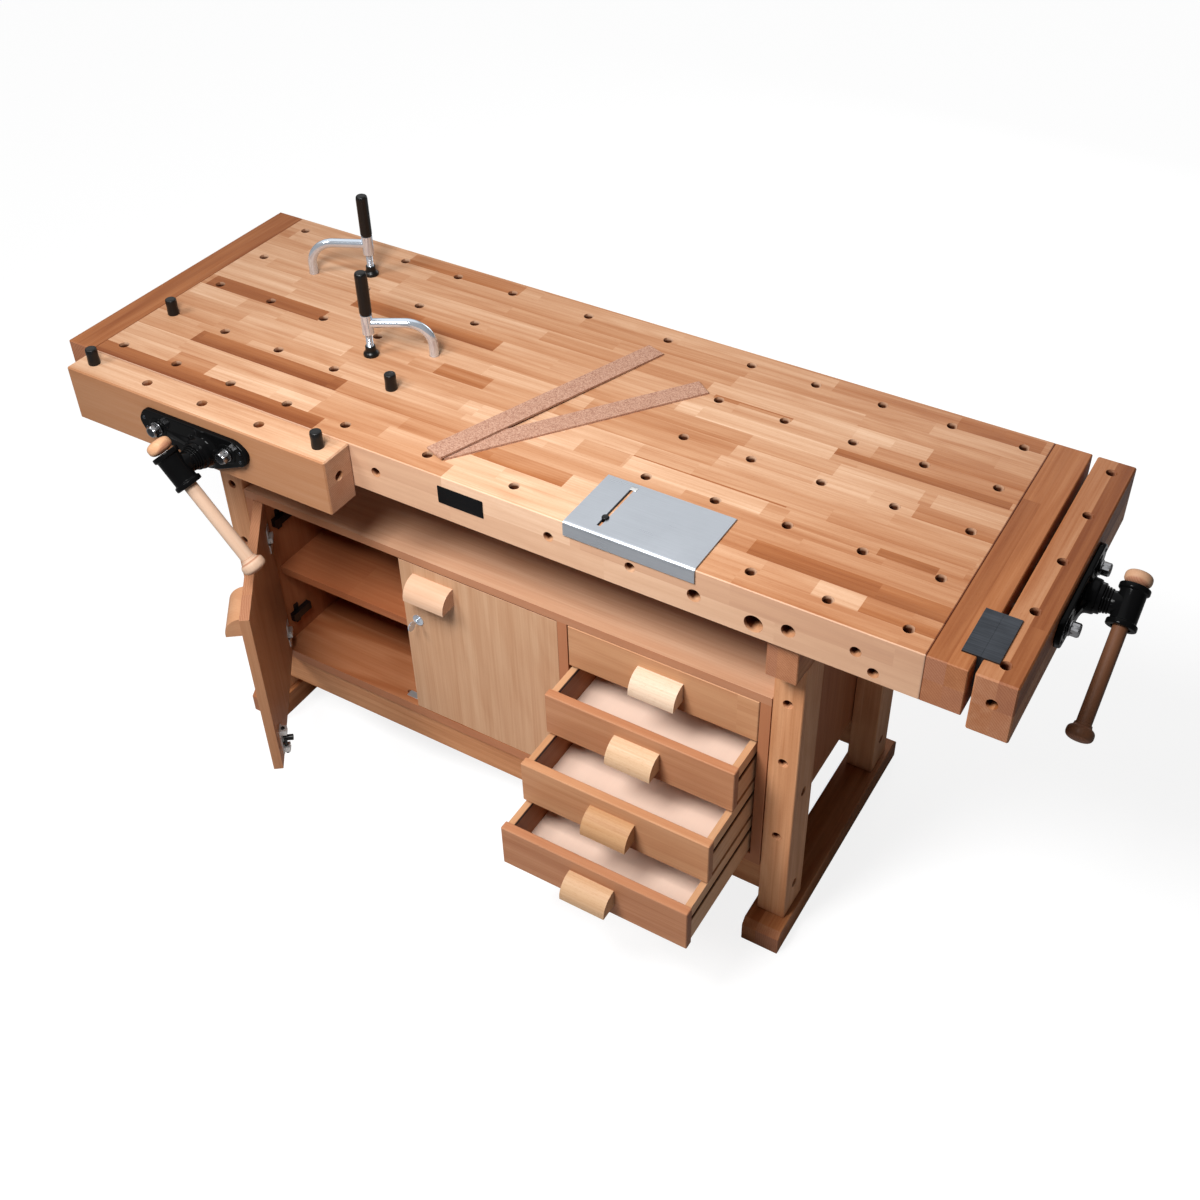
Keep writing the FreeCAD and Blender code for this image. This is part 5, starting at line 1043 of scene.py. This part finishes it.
def makeSheet():
    low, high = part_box("steel_plate")
    half, ease, gap = bentSheet["thick"] / 2, bentSheet["ease"], 0.000002
    bend = bentSheet["bend"] - half
    turn = np.linspace(0, pi / 2, 13)
    frontY, topZ, back = low.y + half, high.z - half, high.y - corner.y
    slotFront, slotBack = bentSheet["slotFront"], bentSheet["slotBack"]
    flat = lambda *places: np.array([(corner.y + place, topZ) for place in places])
    front, behind = flat(slotFront, slotFront - 0.002), flat(back, back - 0.001, slotBack)
    arc = np.stack([frontY + bend * (1 - np.sin(turn)), topZ - bend * (1 - np.cos(turn))], -1)
    lip = np.array([(frontY, topZ - bend - 0.001), (frontY, low.z + 0.001), (frontY, low.z)])
    left = low.x + bentSheet["slotLeft"]
    right = left + bentSheet["slotWide"]
    whole, near = np.concatenate([behind, front, arc, lip]), np.concatenate([front, arc, lip])
    between = [(left + gap, 0), (left + gap, 1), (right - gap, 1), (right - gap, 0)]
    leftEnds = [(low.x, 0), (low.x, 0.7), (low.x + ease, 1), (left - gap, 1), (left - gap, 0)]
    rightEnds = [(right + gap, 0), (right + gap, 1), (high.x - ease, 1), (high.x, 0.7), (high.x, 0)]
    grids = [sheetBand(whole, leftEnds), sheetBand(behind, between), sheetBand(near, between),
             sheetBand(whole, rightEnds)]
    plate = makePiece("bent-sheet", grids, paints["sheet"], "bench", sharp=30)
    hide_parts("steel_plate")
    makeSlot(left, right, high.z)
    knob = [(0, -0.004), (0.0022, -0.004), (0.0022, 0.0002), (0.0062, 0.0002), (0.0064, 0.0016),
            (0.0056, 0.0034), (0.0030, 0.0040), (0, 0.0040)]
    knob = eased(knob, [0, 0.0003, 0, 0.0003, 0.0006, 0.0006, 0.0006, 0])
    grid = lathe((*standAt("plate_clamp")[:2], high.z), (0, 0, 1), knob, 32)
    clamp = makePiece("slot-clamp", grid, paints["grip"], "bench")
    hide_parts("plate_clamp")


# the dark rail is in part a real steel rail and in part a dark strip put in as painted shadow along the
# slot's left wall
def makeSlot(left, right, level):  # a dark rail along the slot's left side and a bright stop at its far end
    front, back = corner.y + bentSheet["slotFront"], corner.y + bentSheet["slotBack"]
    high, edge = bentSheet["railHigh"], bentSheet["railEdge"]
    x, y, rise = roundedPlate(left + bentSheet["railFrom"], left + bentSheet["railTo"], front, back, 0.0004,
                              [(drawnIn, 0), (0, 0), (0, high - edge), (edge, high), (drawnIn, high)])
    grid = np.stack([x, y, topHeight + 0.0001 + rise], -1)
    makePiece("slot-rail-and-shadow", grid, paints["dark"], "bench")
    high = bentSheet["stopHigh"]
    x, y, rise = roundedPlate(left - bentSheet["stopLeft"], right + bentSheet["stopRight"],
                              back - bentSheet["stopFront"], back + bentSheet["stopBack"], 0.0008,
                              [(drawnIn, 0), (0, 0), (0, high - 0.0002), (0.0003, high), (drawnIn, high)])
    grid = np.stack([x, y, level + 0.00002 + rise], -1)
    makePiece("slot-stop", grid, paints["nickel"], "bench")


# the plate on the cupboard's floor that the left door's bolt slides into
striker = {
    "x": 0.664, "y": 0.077, "width": 0.026, "depth": 0.015, "thick": 0.0012, "round": 0.002, "edge": 0.0004,
}


def makeStriker():
    half, deep, thick = striker["width"] / 2, striker["depth"] / 2, striker["thick"]
    rings = [(drawnIn, 0), (0, 0), (0, thick * 0.7), (striker["edge"], thick), (drawnIn, thick)]
    x, y, rise = roundedPlate(striker["x"] - half, striker["x"] + half, striker["y"] - deep,
                              striker["y"] + deep, striker["round"], rings)
    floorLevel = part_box("case_bottom")[1].z + 0.0001
    grid = np.stack([x + corner.x, y + corner.y, floorLevel + rise], -1)
    makePiece("striker", grid, paints["nickel"], "bench")


# the bare plate on the worktop's front edge
badge = {
    "left": 0.8497, "right": 0.9410, "low": 0.8175, "high": 0.8525,
    "thick": 0.0016, "ease": 0.0009, "round": 0.002,
}


def makeBadge():
    thick, ease = badge["thick"], badge["ease"]
    rings = [(drawnIn, 0), (0, 0), (0, thick - ease), (ease * 0.3, thick - ease * 0.3), (ease, thick),
             (drawnIn, thick)]
    sides = (badge[name] for name in ("left", "right", "low", "high"))
    x, z, rise = roundedPlate(*sides, badge["round"], rings)
    points = np.stack([x + corner.x, corner.y - 0.0001 - rise, z], -1)
    paint = metalPaint("black plate", (0.005, 0.005, 0.0054), 0.42, (300.0, 300.0, 300.0), 0.0,
                       Specular_IOR_Level=0.08)
    makePiece("bare-plate", points, paint, "bench")


setCamera()
setLights()
setRoom()
layFloor()
print("camera, light and floor are set")
paints = {}
paintSlab()
paintTrestles()
paintCase()
paintDrawers()
paintPulls()
paintMetals()
paintCork()
print("materials are set")
frontLean, endLean = radians(handles["frontLean"]), radians(handles["endLean"])
makeVise("front", (-sin(frontLean), 0, cos(frontLean)))
makeVise("end", (0, sin(endLean), cos(endLean)))
print("vises are made")
makeDogs()
makeHoldDowns()
makeSheet()
makeStriker()
makeBadge()
print("dogs, hold-downs, sheet and plate are made")
